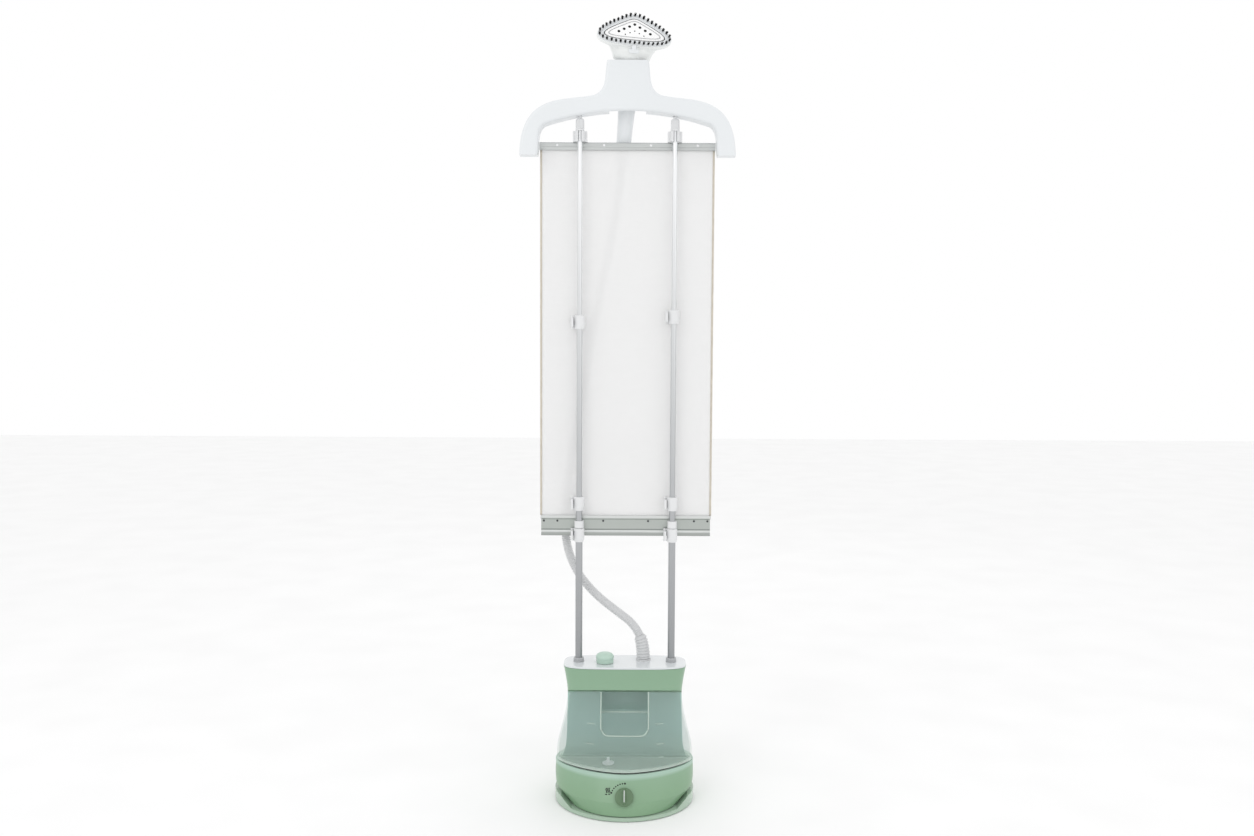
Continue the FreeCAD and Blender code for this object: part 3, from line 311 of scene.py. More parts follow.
BAND_GREEN, CASE_GREEN, CASE_RIM = linear(131, 166, 137), linear(131, 165, 133), linear(164, 192, 176)
GRADED = {
    # Column: its front below the band is painted much paler than its green, painted light for the light that
    # reaches it through the tank; farther back it keeps one plain green.
    "upper_body": plastic("column_green", BAND_GREEN, 0.34, coat=0.15, grain=0.06).grade_by_height([
        (0.070, linear(196, 224, 210)), (0.150, linear(192, 224, 216)), (0.2155, linear(168, 212, 200)),
        (0.2165, BAND_GREEN), (0.235, linear(137, 170, 142)), (0.272, linear(135, 168, 140))]).behind(
            -9.5 * MM, linear(136, 169, 141)),
    # Casing: darker towards its bottom, painted shade near the foot, with a paler band along its top rim.
    "lower_body": plastic("case_green", CASE_GREEN, 0.34, coat=0.15, grain=0.06).grade_by_height([
        (0.010, linear(124, 160, 125)), (0.045, CASE_GREEN), (0.068, linear(136, 169, 140)),
        (0.0735, CASE_RIM), (0.078, CASE_RIM)]),
    # Seat: painted much paler than the casing, painted light that lifts the shade the tank casts on it.
    "tank_seat": plastic("seat_green", linear(220, 234, 226), 0.4, grain=0.06),
    # Bottom rail: painted light and shade in bands, darker along its lower part, a painted highlight line, a dark
    # painted shade band in its groove and a lighter painted highlight on its top lip.
    "bottom_rail": metal("rail_grooved", linear(186, 191, 187), 0.4, (14, 900, 900)).grade_by_height([
        (0.5290, linear(160, 164, 161)), (0.5355, linear(176, 180, 177)), (0.5362, linear(232, 234, 233)),
        (0.5400, linear(218, 221, 219)), (0.5407, linear(152, 157, 154)), (0.5422, linear(152, 157, 154)),
        (0.5430, linear(184, 189, 185)), (0.5640, linear(184, 189, 185)), (0.5650, linear(214, 217, 215)),
        (0.5695, linear(218, 220, 219))]),
    # Screws: the same steel painted near-black on the bottom rail and near-white on the top rail: painted shade
    # and painted highlight.
    "bottom_rail_screws": metal("screw_dark", linear(74, 76, 78), 0.4, (80, 80, 80)),
    "top_rail_screws": metal("screw_bright", linear(238, 239, 240), 0.25, (80, 80, 80)),
}
EDGE = edge_surface()
HEAD = plastic("head_plastic", linear(238, 240, 239), 0.4, coat=0.1, grain=0.03)


def dress_frame():
    """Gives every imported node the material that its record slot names."""
    for part in frame["record"]["subparts"]:
        shown = frame["nodes"][part["node"]]
        surface = GRADED.get(part["node"], SURFACES[part["material_slot"]])
        for slot in shown.material_slots:
            slot.material = surface.material


# ---- Mesh helpers -----------------------------------------------------------------------------------------

def new_piece(name, body, slot, points, faces, smooth=True):
    mesh = bpy.data.meshes.new(name)
    mesh.from_pydata([tuple(point) for point in points], [], faces)
    mesh.update()
    made = bmesh.new()
    made.from_mesh(mesh)
    bmesh.ops.recalc_face_normals(made, faces=made.faces)
    made.to_mesh(mesh)
    made.free()
    mesh.polygons.foreach_set("use_smooth", [smooth] * len(mesh.polygons))
    piece = bpy.data.objects.new(name, mesh)
    bpy.context.scene.collection.objects.link(piece)
    mesh.materials.append(SURFACES[slot].material)
    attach(piece, body)
    return piece


def ring_faces(rings, count, closed_ring=True):
    """Quads between neighbouring rings of equal length."""
    faces = []
    for ring in range(rings - 1):
        base = ring * count
        for index in range(count if closed_ring else count - 1):
            following = (index + 1) % count
            faces.append((base + index, base + following, base + count + following, base + count + index))
    return faces


def skin(rings, loop=False):
    """Points and faces of a skin over closed rings, capped at its ends or joined end to end."""
    count = len(rings[0])
    points = [point for ring in rings for point in ring]
    faces = ring_faces(len(rings), count)
    last = (len(rings) - 1) * count
    if loop:
        for index in range(count):
            following = (index + 1) % count
            faces.append((last + index, last + following, following, index))
        return points, faces
    faces.append(tuple(range(count)))
    faces.append(tuple(range(last, last + count)))
    return points, faces


def joined(parts):
    """Several point and face lists as one."""
    points, faces = [], []
    for some_points, some_faces in parts:
        start = len(points)
        points += some_points
        faces += [tuple(index + start for index in face) for face in some_faces]
    return points, faces


def axes_of(axis):
    """Two directions square to an axis."""
    axis = Vector(axis).normalized()
    side = Vector((1, 0, 0)) if abs(axis.x) < 0.9 else Vector((0, 1, 0))
    first = (side - axis * side.dot(axis)).normalized()
    return first, axis.cross(first)


def lathe(profile, at, axis=(0, 0, 1), count=64, ripple=None):
    """Rings of (radius, height) pairs about an axis. Ripple changes a radius by angle and height."""
    axis = Vector(axis).normalized()
    first, second = axes_of(axis)
    rings = []
    for radius, height in profile:
        ring = []
        for index in range(count):
            angle = 2 * math.pi * index / count
            wide = radius + (ripple(angle, height) if ripple else 0.0)
            outwards = first * math.cos(angle) + second * math.sin(angle)
            ring.append(Vector(at) + axis * height + outwards * wide)
        rings.append(ring)
    return skin(rings)


def rounded(profile, radius, steps=4):
    """An open profile with each inner corner rounded by an arc-like curve."""
    points = [Vector(point) for point in profile]
    made = [points[0]]
    for before, corner, after in zip(points, points[1:], points[2:]):
        reach = min(radius, (before - corner).length * 0.45, (after - corner).length * 0.45)
        start = corner + (before - corner).normalized() * reach
        end = corner + (after - corner).normalized() * reach
        for step in range(steps + 1):
            share = step / steps
            made.append(start * (1 - share) ** 2 + corner * 2 * share * (1 - share) + end * share ** 2)
    made.append(points[-1])
    return [tuple(point) for point in made]


def along(path, radius_at, count=20):
    """A tube of changing radius that follows a path. radius_at takes the length from the start."""
    rings = []
    side = None
    travelled = 0.0
    for index, point in enumerate(path):
        before, after = path[max(index - 1, 0)], path[min(index + 1, len(path) - 1)]
        tangent = (after - before).normalized()
        if side is None:
            side = axes_of(tangent)[0]
        side = (side - tangent * side.dot(tangent)).normalized()
        other = tangent.cross(side)
        if index:
            travelled += (point - path[index - 1]).length
        radius = radius_at(travelled)
        rings.append([point + (side * math.cos(2 * math.pi * step / count)
                               + other * math.sin(2 * math.pi * step / count)) * radius
                      for step in range(count)])
    return skin(rings)


def evenly(path, gap):
    """Points a fixed gap apart along a path."""
    spots = [path[0].copy()]
    need = gap
    for start, end in zip(path, path[1:]):
        length = (end - start).length
        done = 0.0
        while length - done >= need:
            done += need
            spots.append(start.lerp(end, done / length))
            need = gap
        need -= length - done
    return spots


def surface_finder(node):
    """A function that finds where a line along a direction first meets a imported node."""
    graph = bpy.context.evaluated_depsgraph_get()
    tree = BVHTree.FromObject(frame["nodes"][node], graph)

    def find(start, direction):
        place, normal, _, _ = tree.ray_cast(Vector(start), Vector(direction).normalized())
        return place, normal
    return find


# ---- Hose and boot ----------------------------------------------------------------------------------------

HOSE_POINTS = [
    (0.037, 0.013, 0.280), (0.0365, 0.0135, 0.302), (0.029, 0.016, 0.329), (0.012, 0.020, 0.352),
    (-0.015, 0.025, 0.371), (-0.057, 0.032, 0.402), (-0.093, 0.038, 0.441), (-0.116, 0.040, 0.488),
    (-0.124, 0.040, 0.543), (-0.122, 0.040, 0.605), (-0.111, 0.041, 0.680), (-0.097, 0.042, 0.757),
    (-0.084, 0.0425, 0.838), (-0.072, 0.043, 0.918), (-0.057, 0.044, 0.998), (-0.039, 0.046, 1.080),
    (-0.026, 0.049, 1.152), (-0.016, 0.0515, 1.222), (-0.0088, 0.043, 1.298), (-0.002, 0.029, 1.374)]
HOSE_RADIUS = 9 * MM
RIB_PITCH = 4 * MM
BOOT_LENGTH = 47 * MM
BOOT_RIBS = 7


def hose_line():
    """The hose's centre line, read from its spline."""
    data = bpy.data.curves.new("hose_route", "CURVE")
    data.dimensions = "3D"
    spline = data.splines.new("NURBS")
    spline.points.add(len(HOSE_POINTS) - 1)
    for point, place in zip(spline.points, HOSE_POINTS):
        point.co = (*place, 1.0)
    spline.order_u = 3
    spline.use_endpoint_u = True
    spline.resolution_u = 24
    route = bpy.data.objects.new("hose_route", data)
    mesh = bpy.data.meshes.new_from_object(route)
    line = [vertex.co.copy() for vertex in mesh.vertices]
    bpy.data.objects.remove(route)
    return line


def make_hose():
    line = hose_line()
    fine = evenly(line, RIB_PITCH / 6)

    def ribbed(travelled):
        wave = 0.5 + 0.5 * math.cos(2 * math.pi * travelled / RIB_PITCH)
        return HOSE_RADIUS - 1.6 * MM * (1 - wave ** 0.6)

    points, faces = along(fine, ribbed, 24)
    hose = new_piece("steam_hose_tube", "base", "hose_plastic", points, faces)
    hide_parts("steam_hose")
    boot = make_boot(fine)
    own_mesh(hose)


def make_boot(fine):
    """Ribbed boot that stiffens the hose where it leaves the deck."""
    step = (fine[1] - fine[0]).length
    path = fine[:int(BOOT_LENGTH / step)]
    pitch = (BOOT_LENGTH - 6 * MM) / BOOT_RIBS

    def radius_at(travelled):
        if travelled > BOOT_LENGTH - 2.2 * MM:
            return HOSE_RADIUS + 0.3 * MM
        taper = 14 * MM - 1.5 * MM * travelled / BOOT_LENGTH
        wave = 0.5 + 0.5 * math.cos(2 * math.pi * travelled / pitch)
        return taper - 2 * MM * (1 - min(1.0, 1.7 * wave))

    points, faces = along(path, radius_at, 40)
    boot = new_piece("hose_boot_ribbed", "base", "hose_plastic", points, faces)
    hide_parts("hose_boot")
    return boot


# ---- Pressing board's cloth -------------------------------------------------------------------------------

def make_cloth():
    """Stretched cloth with faint tension folds that fan from its fixed corners, and its two edge bindings."""
    low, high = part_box("press_cloth")
    middle = (low.y + high.y) / 2
    columns, rows = 90, 190
    width, height = high.x - low.x, high.z - low.z
    points = []
    for row in range(rows):
        for column in range(columns):
            u, v = column / (columns - 1), row / (rows - 1)
            held = min(1.0, 9 * min(v, 1 - v)) * min(1.0, 12 * min(u, 1 - u))
            fold = math.sin(31 * u + 5.0 * math.sin(2.1 * v) + 1.3) * 0.30
            fold += math.sin(17 * u - 8 * v) * math.sin(3.0 * v + 0.6) * 0.35
            fold += math.sin(9 * v + 4 * u) * 0.22
            points.append(Vector((low.x + width * u, middle + held * fold * 0.75 * MM, low.z + height * v)))
    faces = ring_faces(rows, columns, closed_ring=False)
    cloth = new_piece("press_cloth_sheet", "second_stage", "cloth", points, faces)
    thick = cloth.modifiers.new("thickness", "SOLIDIFY")
    thick.thickness = 0.35 * MM
    thick.offset = 0
    apply_modifiers(cloth)
    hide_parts("press_cloth")
    bindings = make_bindings(middle)
    for piece, top in ((cloth, high.z), (bindings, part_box("cloth_bindings")[1].z)):
        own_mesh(piece)


def make_bindings(middle):
    """Folded tape round each side edge, with a row of stitches."""
    low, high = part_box("cloth_bindings")
    parts = []
    rows = 120
    for side in (-1, 1):
        edge = high.x if side > 0 else -high.x
        profile = rounded([(edge - side * 4 * MM, 1.5 * MM), (edge - side * 0.2 * MM, 1.5 * MM),
                           (edge, 0), (edge - side * 0.2 * MM, -1.5 * MM), (edge - side * 4 * MM, -1.5 * MM),
                           (edge - side * 4 * MM, 1.5 * MM)], 0.7 * MM, 3)
        rings = []
        for row in range(rows):
            height = low.z + (high.z - low.z) * row / (rows - 1)
            sway = 0.12 * MM * math.sin(row * 0.9) * math.sin(row * 0.23 + side)
            rings.append([Vector((x + sway, middle + y, height)) for x, y in profile[:-1]])
        parts.append(skin(rings))
        for face in (-1, 1):
            for stitch in range(int((high.z - low.z - 8 * MM) / (4 * MM))):
                start = Vector((edge - side * 2.9 * MM, middle + face * 1.55 * MM,
                                low.z + 4 * MM + stitch * 4 * MM))
                parts.append(along([start, start + Vector((0, face * 0.1 * MM, 1.3 * MM)),
                                    start + Vector((0, 0, 2.6 * MM))], lambda _: 0.2 * MM, 5))
    bindings = new_piece("cloth_binding_tapes", "second_stage", "binding", *joined(parts))
    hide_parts("cloth_bindings")
    return bindings


def apply_modifiers(piece):
    graph = bpy.context.evaluated_depsgraph_get()
    graph.update()
    done = bpy.data.meshes.new_from_object(piece.evaluated_get(graph))
    piece.modifiers.clear()
    piece.data = done


# ---- Handset ----------------------------------------------------------------------------------------------

HANDSET_UP = Vector(joints["handset_lift"]["axis"]).normalized()
FACE_OUT = Vector(joints["brush_pull"]["axis"]).normalized()
HANDSET_SIDE = HANDSET_UP.cross(FACE_OUT).normalized()
HANDSET_BACK = HANDSET_UP.cross(HANDSET_SIDE)
FACE_UP = FACE_OUT.cross(HANDSET_SIDE)
FACE_FRONT, FACE_HEIGHT, FACE_MIDDLE, FACE_SOFTNESS = 34 * MM, 230 * MM, 37.6 * MM, 4.5
# the direction that each side of the face's outline faces, and the side's distance from the middle
FACE_SIDES = [(-90, 33.6), (60.5, 28.6), (119.5, 28.6), (-20.5, 73), (200.5, 73)]


def handle_base():
    """The middle of the handle's lower end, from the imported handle."""
    corners = [vertex.co for vertex in frame["nodes"]["handset_handle"].data.vertices]
    lowest = min(corner.dot(HANDSET_UP) for corner in corners)
    end = [corner for corner in corners if corner.dot(HANDSET_UP) < lowest + 0.05 * MM]
    side = [corner.dot(HANDSET_SIDE) for corner in end]
    back = [corner.dot(HANDSET_BACK) for corner in end]
    return (HANDSET_SIDE * (min(side) + max(side)) / 2 + HANDSET_BACK * (min(back) + max(back)) / 2
            + HANDSET_UP * lowest)


HANDSET_BASE = handle_base()
FACE_BASE = HANDSET_BASE - HANDSET_BACK * FACE_FRONT + HANDSET_UP * FACE_HEIGHT


def oval(height, half_width, half_depth, shift, count):
    ring = []
    for index in range(count):
        angle = 2 * math.pi * (index + 0.5) / count
        ring.append(HANDSET_BASE + HANDSET_UP * height * MM + HANDSET_SIDE * half_width * MM * math.cos(angle)
                    + HANDSET_BACK * (half_depth * math.sin(angle) - shift) * MM)
    return ring


def corner_radius(angle, grow):
    """How far the three-cornered outline is from its middle, grown by a distance in metres."""
    total = sum(max(0.0, math.cos(angle - math.radians(normal)) / (reach * MM + grow)) ** FACE_SOFTNESS
                for normal, reach in FACE_SIDES)
    return total ** (-1 / FACE_SOFTNESS)


def on_face(x, v, depth):
    return FACE_BASE + HANDSET_SIDE * x + FACE_UP * v - FACE_OUT * depth


def three_corners(grow, depth, count):
    """The face's rounded triangle, apex up, at a depth behind its plane. Millimetres."""
    ring = []
    for index in range(count):
        angle = 2 * math.pi * (index + 0.5) / count
        radius = corner_radius(angle, grow * MM)
        ring.append(on_face(radius * math.cos(angle), FACE_MIDDLE + radius * math.sin(angle), depth * MM))
    return ring


def face_band(outer, inner, low, high, count):
    """A square-edged band that follows the face's outline."""
    profile = ((outer, low), (outer, high), (inner, high), (inner, low))
    return skin([three_corners(grow, depth, count) for grow, depth in profile], loop=True)


def make_head():
    count = 120
    rows = [(150.4, 22, 19, 1), (152, 22.1, 19, 1), (172, 25, 19.2, 1.2), (190, 28, 19.5, 1.5),
            (200, 29.9, 19.9, 1.7), (201.4, 31.2, 20.2, 1.9), (203.2, 34.6, 20.8, 2.4), (204.6, 36, 21.1, 2.6),
            (209, 37.2, 21.8, 2.9), (215, 39.4, 23, 3.4), (221, 42.8, 24, 4)]
    ovals = [oval(*row, count) for row in rows]
    front = three_corners(4, 7, count)
    rings = list(ovals)
    steps = 12
    last, before = ovals[-1], ovals[-2]
    ahead = three_corners(4, 4, count)
    for step in range(1, steps):
        share = step / steps
        ring = []
        for start, earlier, end, onward in zip(last, before, front, ahead):
            reach = (end - start).length * 0.75
            leave = (start - earlier).normalized() * reach
            arrive = (onward - end).normalized() * reach
            ring.append(hermite(start, leave, end, arrive, share))
        rings.append(ring)
    rings.append(front)
    rings += [three_corners(grow, depth, count) for grow, depth in ((4, 2.2), (3.6, 1.6), (3, 1.5))]
    head = new_piece("handset_head_shell", "handset", "white_plastic", *skin(rings))
    sharpen(head, 50)
    head.data.materials[0] = HEAD.material
    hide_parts("handset_head")


def hermite(start, leave, end, arrive, share):
    square, cube = share ** 2, share ** 3
    return (start * (2 * cube - 3 * square + 1) + leave * (cube - 2 * square + share)
            + end * (3 * square - 2 * cube) + arrive * (cube - square))


def sharpen(piece, degrees):
    """Keeps edges that turn by more than an angle crisp in the shading."""
    made = bmesh.new()
    made.from_mesh(piece.data)
    for edge in made.edges:
        if len(edge.link_faces) == 2 and edge.calc_face_angle(0) > math.radians(degrees):
            edge.smooth = False
    made.to_mesh(piece.data)
    made.free()


# each hole's place across and up the face, and its radius
STEAM_HOLES = [(0, 45.9, 2.9)] + [(side * x, v, 2.9) for side in (-1, 1)
                                 for x, v in ((10.1, 40.2), (20.5, 34), (30.5, 27.6))]
SMALL_HOLES = [(0, 31, 1.4)] + [(side * x, v, 1.4) for side in (-1, 1) for x, v in ((9, 26.5), (18, 21.8))]


def make_sole():
    """Sole plate with a groove inside its edge and two rows of steam holes."""
    count = 120
    profile = [(-8, 1.2), (-8, -0.4), (-8.1, -1.1), (-8.7, -1.6), (-11.6, -1.6), (-12, -1.3), (-12.2, -0.8),
               (-13.4, -0.8), (-13.6, -1.3), (-14, -1.6), (-16, -1.6)]
    rings = [three_corners(grow, depth, count) for grow, depth in profile]
    sole = new_piece("sole_plate_face", "handset", "sole_ceramic", *skin(rings))
    drills = []
    for x, v, radius in STEAM_HOLES + SMALL_HOLES:
        at = on_face(x * MM, v * MM, 4 * MM)
        drills.append(lathe([(radius * MM, 0), (radius * MM, 8 * MM)], at, FACE_OUT, 20))
    tool = new_piece("drill", "handset", "sole_ceramic", *joined(drills))
    cutter = sole.modifiers.new("holes", "BOOLEAN")
    cutter.object = tool
    cutter.solver = "EXACT"
    apply_modifiers(sole)
    bpy.data.objects.remove(tool)
    sharpen(sole, 40)
    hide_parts("sole_plate")
    cups = []
    for x, v, radius in STEAM_HOLES + SMALL_HOLES:
        at = on_face(x * MM, v * MM, 1.15 * MM)
        wide = radius * MM
        cups.append(lathe([(0.02 * MM, 0), (wide * 0.98, 0), (wide * 0.98, 2.3 * MM), (wide * 0.86, 2.3 * MM),
                           (wide * 0.84, 0.4 * MM), (0.02 * MM, 0.4 * MM)], at, FACE_OUT, 20))
    # Dark band in the gap between the brush frame and the sole: painted shadow.
    cups.append(face_band(-6.8, -7.9, 1.2, -0.2, count))
    new_piece("steam_jets_and_gap_shadow", "handset", "dark_plastic", *joined(cups))
    # Grey band laid in the sole's groove: painted shade in the groove.
    new_piece("sole_groove_shade", "handset", "socket_grey", *face_band(-12.3, -13.3, -0.7, -1.1, count))


TUFTS, HAIRS_PER_TUFT = 36, 40


def make_brush():
    """Brush frame with rounded edges and its tab, and tufts of separate bristles."""
    count = 160
    profile = rounded([(0, 1.2), (3.6, 1.2), (3.6, -1.4), (-6.7, -1.4), (-6.7, 1.2), (0, 1.2)], 0.9)
    rings = [three_corners(grow, depth, count) for grow, depth in profile[:-1]]
    parts = [skin(rings, loop=True)]
    for half_wide, low, high in ((10, 215.5, 223), (4.5, 222, 231.3)):
        rings = []
        for shrink, depth in ((0.7, -33.8), (0, -34.2), (0, -35.6), (0.4, -36.1), (1.2, -36.4)):
            ring = []
            for index in range(40):
                angle = 2 * math.pi * index / 40
                x = (half_wide - shrink) * math.copysign(abs(math.cos(angle)) ** 0.4, math.cos(angle))
                z = ((high - low) / 2 - shrink) * math.copysign(abs(math.sin(angle)) ** 0.5, math.sin(angle))
                ring.append(HANDSET_BASE + HANDSET_SIDE * x * MM + HANDSET_BACK * depth * MM
                            + HANDSET_UP * (z + (low + high) / 2) * MM)
            rings.append(ring)
        parts.append(skin(rings))
    ring = new_piece("brush_frame", "brush", "white_plastic", *joined(parts))
    sharpen(ring, 50)
    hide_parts("brush_ring")

    random.seed(7)
    spots = evenly_closed(three_corners(0, -1.2, 400), TUFTS)
    hairs = []
    middle = on_face(0, FACE_MIDDLE, -1.2 * MM)
    for spot in spots:
        outwards = (spot - middle).normalized()
        lean = (FACE_OUT + outwards * 0.16).normalized()
        side, other = axes_of(lean)
        for _ in range(HAIRS_PER_TUFT):
            turn, reach = random.uniform(0, 2 * math.pi), 1.45 * MM * math.sqrt(random.random())
            root = spot + (side * math.cos(turn) + other * math.sin(turn)) * reach
            stray = Vector([random.uniform(-0.05, 0.05) for _ in range(3)])
            splay = (lean + (root - spot) * 90 + stray).normalized()
            tip = root + splay * random.uniform(6.6, 7.6) * MM
            hairs.append(along([root - lean * 0.5 * MM, root.lerp(tip, 0.5), tip],
                               lambda length: (0.34 - 16 * length) * MM, 4))
    tufts = new_piece("brush_bristles", "brush", "bristle", *joined(hairs))
    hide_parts("brush_tufts")


def evenly_closed(ring, count):
    """A number of points evenly spaced round a closed ring."""
    loop = ring + [ring[0]]
    total = sum((end - start).length for start, end in zip(loop, loop[1:]))
    return evenly(loop, total / count)[:count]


# ---- Base fittings ----------------------------------------------------------------------------------------

def make_cap():
    """Water cap: a knurled skirt with a smooth dome."""
    low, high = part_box("filler_cap")
    at = Vector(((low.x + high.x) / 2, (low.y + high.y) / 2, low.z))
    radius, tall = (high.x - low.x) / 2, high.z - low.z
    profile = [(0.1 * MM, 9 * MM), (12.4 * MM, 9 * MM), (12.8 * MM, 2.6 * MM), (16 * MM, 2.6 * MM),
               (16.2 * MM, 0.2 * MM), (16.8 * MM, 0.4 * MM), (17 * MM, 1.2 * MM), (17.1 * MM, 7.6 * MM),
               (16.8 * MM, 8.4 * MM), (17.4 * MM, 9 * MM), (radius, 9.8 * MM), (radius, 12.5 * MM),
               (radius - 0.8 * MM, 15 * MM), (radius - 3 * MM, 17.6 * MM), (radius - 6.5 * MM, 19.4 * MM),
               (radius - 11 * MM, tall - 0.2 * MM), (0.1 * MM, tall)]

    def knurl(angle, height):
        if not 1 * MM < height < 8 * MM:
            return 0.0
        return -0.55 * MM * (0.5 - 0.5 * math.cos(48 * angle)) ** 2

    cap = new_piece("water_cap", "cap", "mint_plastic", *lathe(profile, at, count=384, ripple=knurl))
    sharpen(cap, 60)
    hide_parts("filler_cap")


def make_posts():
    """Cap on each pole's top: a finely ribbed post that ends in a ball, which plugs into the hanger."""
    for side in ("left", "right"):
        low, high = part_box(f"mast_cap_{side}")
        at = Vector(((low.x + high.x) / 2, (low.y + high.y) / 2, low.z))
        wide = (high.x - low.x) / 2
        profile = [(4.7 * MM, 0), (wide - 0.7 * MM, 0), (wide - 0.1 * MM, 0.8 * MM), (wide, 2.4 * MM),
                   (wide - 0.9 * MM, 3.2 * MM), (wide - 1 * MM, 20 * MM), (wide - 1.8 * MM, 22.6 * MM),
                   (wide - 3.4 * MM, 23.6 * MM), (3.6 * MM, 23.8 * MM)]
        for step in range(1, 9):
            angle = math.radians(-52 + 142 * step / 8)
            profile.append((max(0.05, 4.6 * math.cos(angle)) * MM, (27.3 + 2.6 * math.sin(angle)) * MM))

        def ribs(angle, height):
            return 0.6 * MM * math.cos(20 * angle) if 3 * MM < height < 21 * MM else 0.0

        post = new_piece(f"mast_post_{side}", "top_stage", "collar_plastic",
                         *lathe(profile, at, count=160, ripple=ribs))
        sharpen(post, 60)
        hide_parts(f"mast_cap_{side}")


DIAL_AXIS = Vector(joints["steam_dial_turn"]["axis"]).normalized()
DIAL_PLACE = Vector(joints["steam_dial_turn"]["pos_m"])
DIAL_UP = (Vector((0, 0, 1)) - DIAL_AXIS * DIAL_AXIS.z).normalized()
DIAL_SIDE = DIAL_UP.cross(DIAL_AXIS)


def near_dial(across, rise, out):
    """A point in the dial's own directions, from its centre on the casing."""
    return DIAL_PLACE + DIAL_SIDE * across + DIAL_UP * rise + DIAL_AXIS * out


def make_dial():
    """Knob with a bevelled edge and a rounded bar to grip, with a pale line the bar's full length: partly its
    pointer, partly a painted highlight.
    """
    stand, radius = 1.2 * MM, 18 * MM
    profile = rounded([(3.3 * MM, stand), (radius, stand), (radius, stand + 2.6 * MM),
                       (radius - 1.5 * MM, stand + 2.7 * MM), (radius - 3.2 * MM, stand + 4.4 * MM),
                       (0.1 * MM, stand + 4.4 * MM)], 0.7 * MM)
    parts = [lathe([(0.1 * MM, stand), *profile], DIAL_PLACE, DIAL_AXIS, 96)]
    half = radius - 4.6 * MM
    rings = []
    for lift, wide, long in ((2.6, 3.4, half), (6.4, 3.1, half), (7.8, 2.8, half - 0.4 * MM),
                             (8.6, 2.0, half - 1.4 * MM)):
        ring = []
        for index in range(48):
            angle = 2 * math.pi * index / 48
            x = wide * MM * math.copysign(abs(math.cos(angle)) ** 0.5, math.cos(angle))
            z = long * math.copysign(abs(math.sin(angle)) ** 0.35, math.sin(angle))
            ring.append(near_dial(x, z, stand + lift * MM))
        rings.append(ring)
    parts.append(skin(rings))
    knob = new_piece("steam_dial_knob", "dial", "dial_green", *joined(parts))
    sharpen(knob, 50)
    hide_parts("steam_dial")
    reach = half / MM
    line = []
    for lift, wide, low, high in ((8.4, 0.75, 2.6 - reach, reach - 1.8), (8.75, 0.6, 2.8 - reach, reach - 2)):
        line.append([near_dial(x * wide * MM, z * MM, stand + lift * MM)
                     for x, z in ((-1, low), (1, low), (1, high), (-1, high))])
    # This pale line is partly the pointer and partly a painted highlight along the grip.
    new_piece("dial_pointer_and_highlight", "dial", "white_plastic", *skin(line), smooth=False)


def make_dial_marks():
    """Generic marks on the casing beside the dial: a swelling arc of dots and three rising wisps."""
    find = surface_finder("lower_body")

    def on_casing(across, rise):
        return find(near_dial(across, rise, 30 * MM), -DIAL_AXIS)

    parts = []
    arc_radius, dots = 26.6 * MM, 8
    for index in range(dots):
        angle = math.radians(3 - 72 * index / (dots - 1))
        place, normal = on_casing(arc_radius * math.sin(angle), arc_radius * math.cos(angle))
        radius = (2.0 if index in (0, dots - 1) else 1.5) * MM
        parts.append(lathe([(0.05 * MM, -0.1 * MM), (radius, -0.1 * MM), (radius * 0.9, 0.14 * MM),
                            (0.05 * MM, 0.16 * MM)], place, normal, 16))
    wisps = [[(-34.5 + wisp * 3 + 0.8 * math.sin(step * 0.78), 10 + step) for step in range(10)]
             for wisp in range(3)]
    for route in [*wisps, [(-36.5, 7), (-33, 7)], [(-30.5, 7), (-27, 7)]]:
        path = []
        for across, rise in route:
            place, normal = on_casing(across * MM, rise * MM)
            path.append(place + normal * 0.02 * MM)
        parts.append(along(path, lambda _: 0.95 * MM, 6))
    new_piece("dial_marks", "base", "dark_plastic", *joined(parts))


# ---- Tank -------------------------------------------------------------------------------------------------

RECESS_HALF, RECESS_LOW, RECESS_LEDGE = 46 * MM, 147 * MM, 189 * MM
# each mark's place across, its height and half its length
LEVEL_MARKS = [(-66, 167, 8), (-68, 130, 8), (68, 167, 8), (70, 130, 8), (72, 105, 5)]


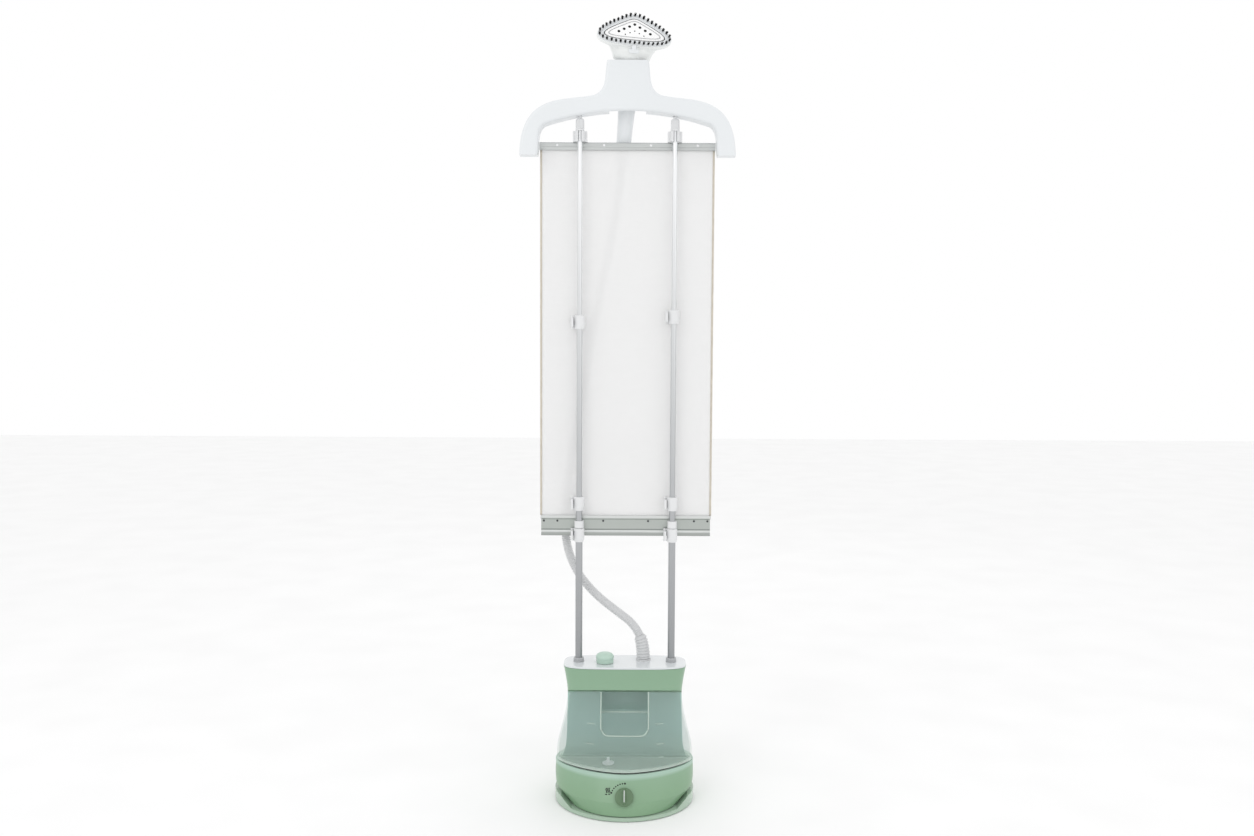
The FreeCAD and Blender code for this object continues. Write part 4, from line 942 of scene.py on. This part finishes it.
def make_tank_marks():
    """Raised bead round the grip recess and short level marks, moulded on the tank's front."""
    find = surface_finder("tank_shell")

    def front(x, z):
        place, _ = find((x, -0.3, z), (0, 1, 0))
        return place

    corner, half, low = 15 * MM, RECESS_HALF + 0.9 * MM, RECESS_LOW - 1 * MM
    outline = [(-half, 0.2315)]
    for centre_x, start in ((corner - half, 180), (half - corner, 270)):
        for step in range(9):
            angle = math.radians(start + 90 * step / 8)
            outline.append((centre_x + corner * math.cos(angle), low + corner + corner * math.sin(angle)))
    outline.append((half, 0.2315))
    dense = evenly([Vector((x, 0, z)) for x, z in outline], 2.5 * MM)
    path = [front(point.x, point.z) for point in dense]
    path = [point for point in path if point is not None]
    parts = [along(path, lambda _: 1.5 * MM, 10)]
    level = RECESS_LEDGE - 5 * MM
    ledge = [Vector((share * (RECESS_HALF - 0.6 * MM), front(0, level).y, level)) for share in (-1, 0, 1)]
    parts.append(along(ledge, lambda _: 1.3 * MM, 8))
    for x, z, half in LEVEL_MARKS:
        places = [front((x + share * half) * MM, z * MM) for share in (-1, -0.5, 0, 0.5, 1)]
        parts.append(along([point for point in places if point is not None], lambda _: 0.9 * MM, 6))
    marks = new_piece("tank_bead_and_marks", "tank", "tank_clear", *joined(parts))
    marks.data.materials[0] = EDGE.material


def make_seat_gap_shadow():
    """Dark line along the front of the seat, in the gap under the tank: painted shadow, thickest in the middle."""
    half_width, depth, flat = 134.6 * MM, 94 * MM, 2 / 1.65
    path = []
    for step in range(121):
        angle = math.radians(197 + 146 * step / 120)
        path.append(Vector((half_width * math.copysign(abs(math.cos(angle)) ** flat, math.cos(angle)),
                            -depth * abs(math.sin(angle)) ** flat, 79.2 * MM)))
    path = evenly(path, 2.5 * MM)
    total = 2.5 * MM * len(path)
    new_piece("seat_gap_shadow", "base", "dark_plastic",
              *along(path, lambda length: (0.2 + 0.9 * math.sin(math.pi * length / total) ** 0.4) * MM, 8))


# ---- Floor ------------------------------------------------------------------------------------------------

def make_floor():
    far = FLOOR_HALF
    floor = bpy.data.objects.new("floor", bpy.data.meshes.new("floor"))
    floor.data.from_pydata([(-far, -far, 0), (far, -far, 0), (far, far, 0), (-far, far, 0)], [], [(0, 1, 2, 3)])
    floor.data.materials.append(plastic("floor_white", (0.94, 0.94, 0.94, 1.0), 0.8, grain=0.0).material)
    bpy.context.scene.collection.objects.link(floor)


# ---- Build ------------------------------------------------------------------------------------------------

make_camera()
make_hose()
make_lights()
make_floor()
dress_frame()
make_cloth()
make_head()
make_sole()
make_brush()
make_cap()
make_posts()
make_dial()
make_dial_marks()
make_tank_marks()
# The seat's dark line is a painted shadow in the gap under the tank.
make_seat_gap_shadow()
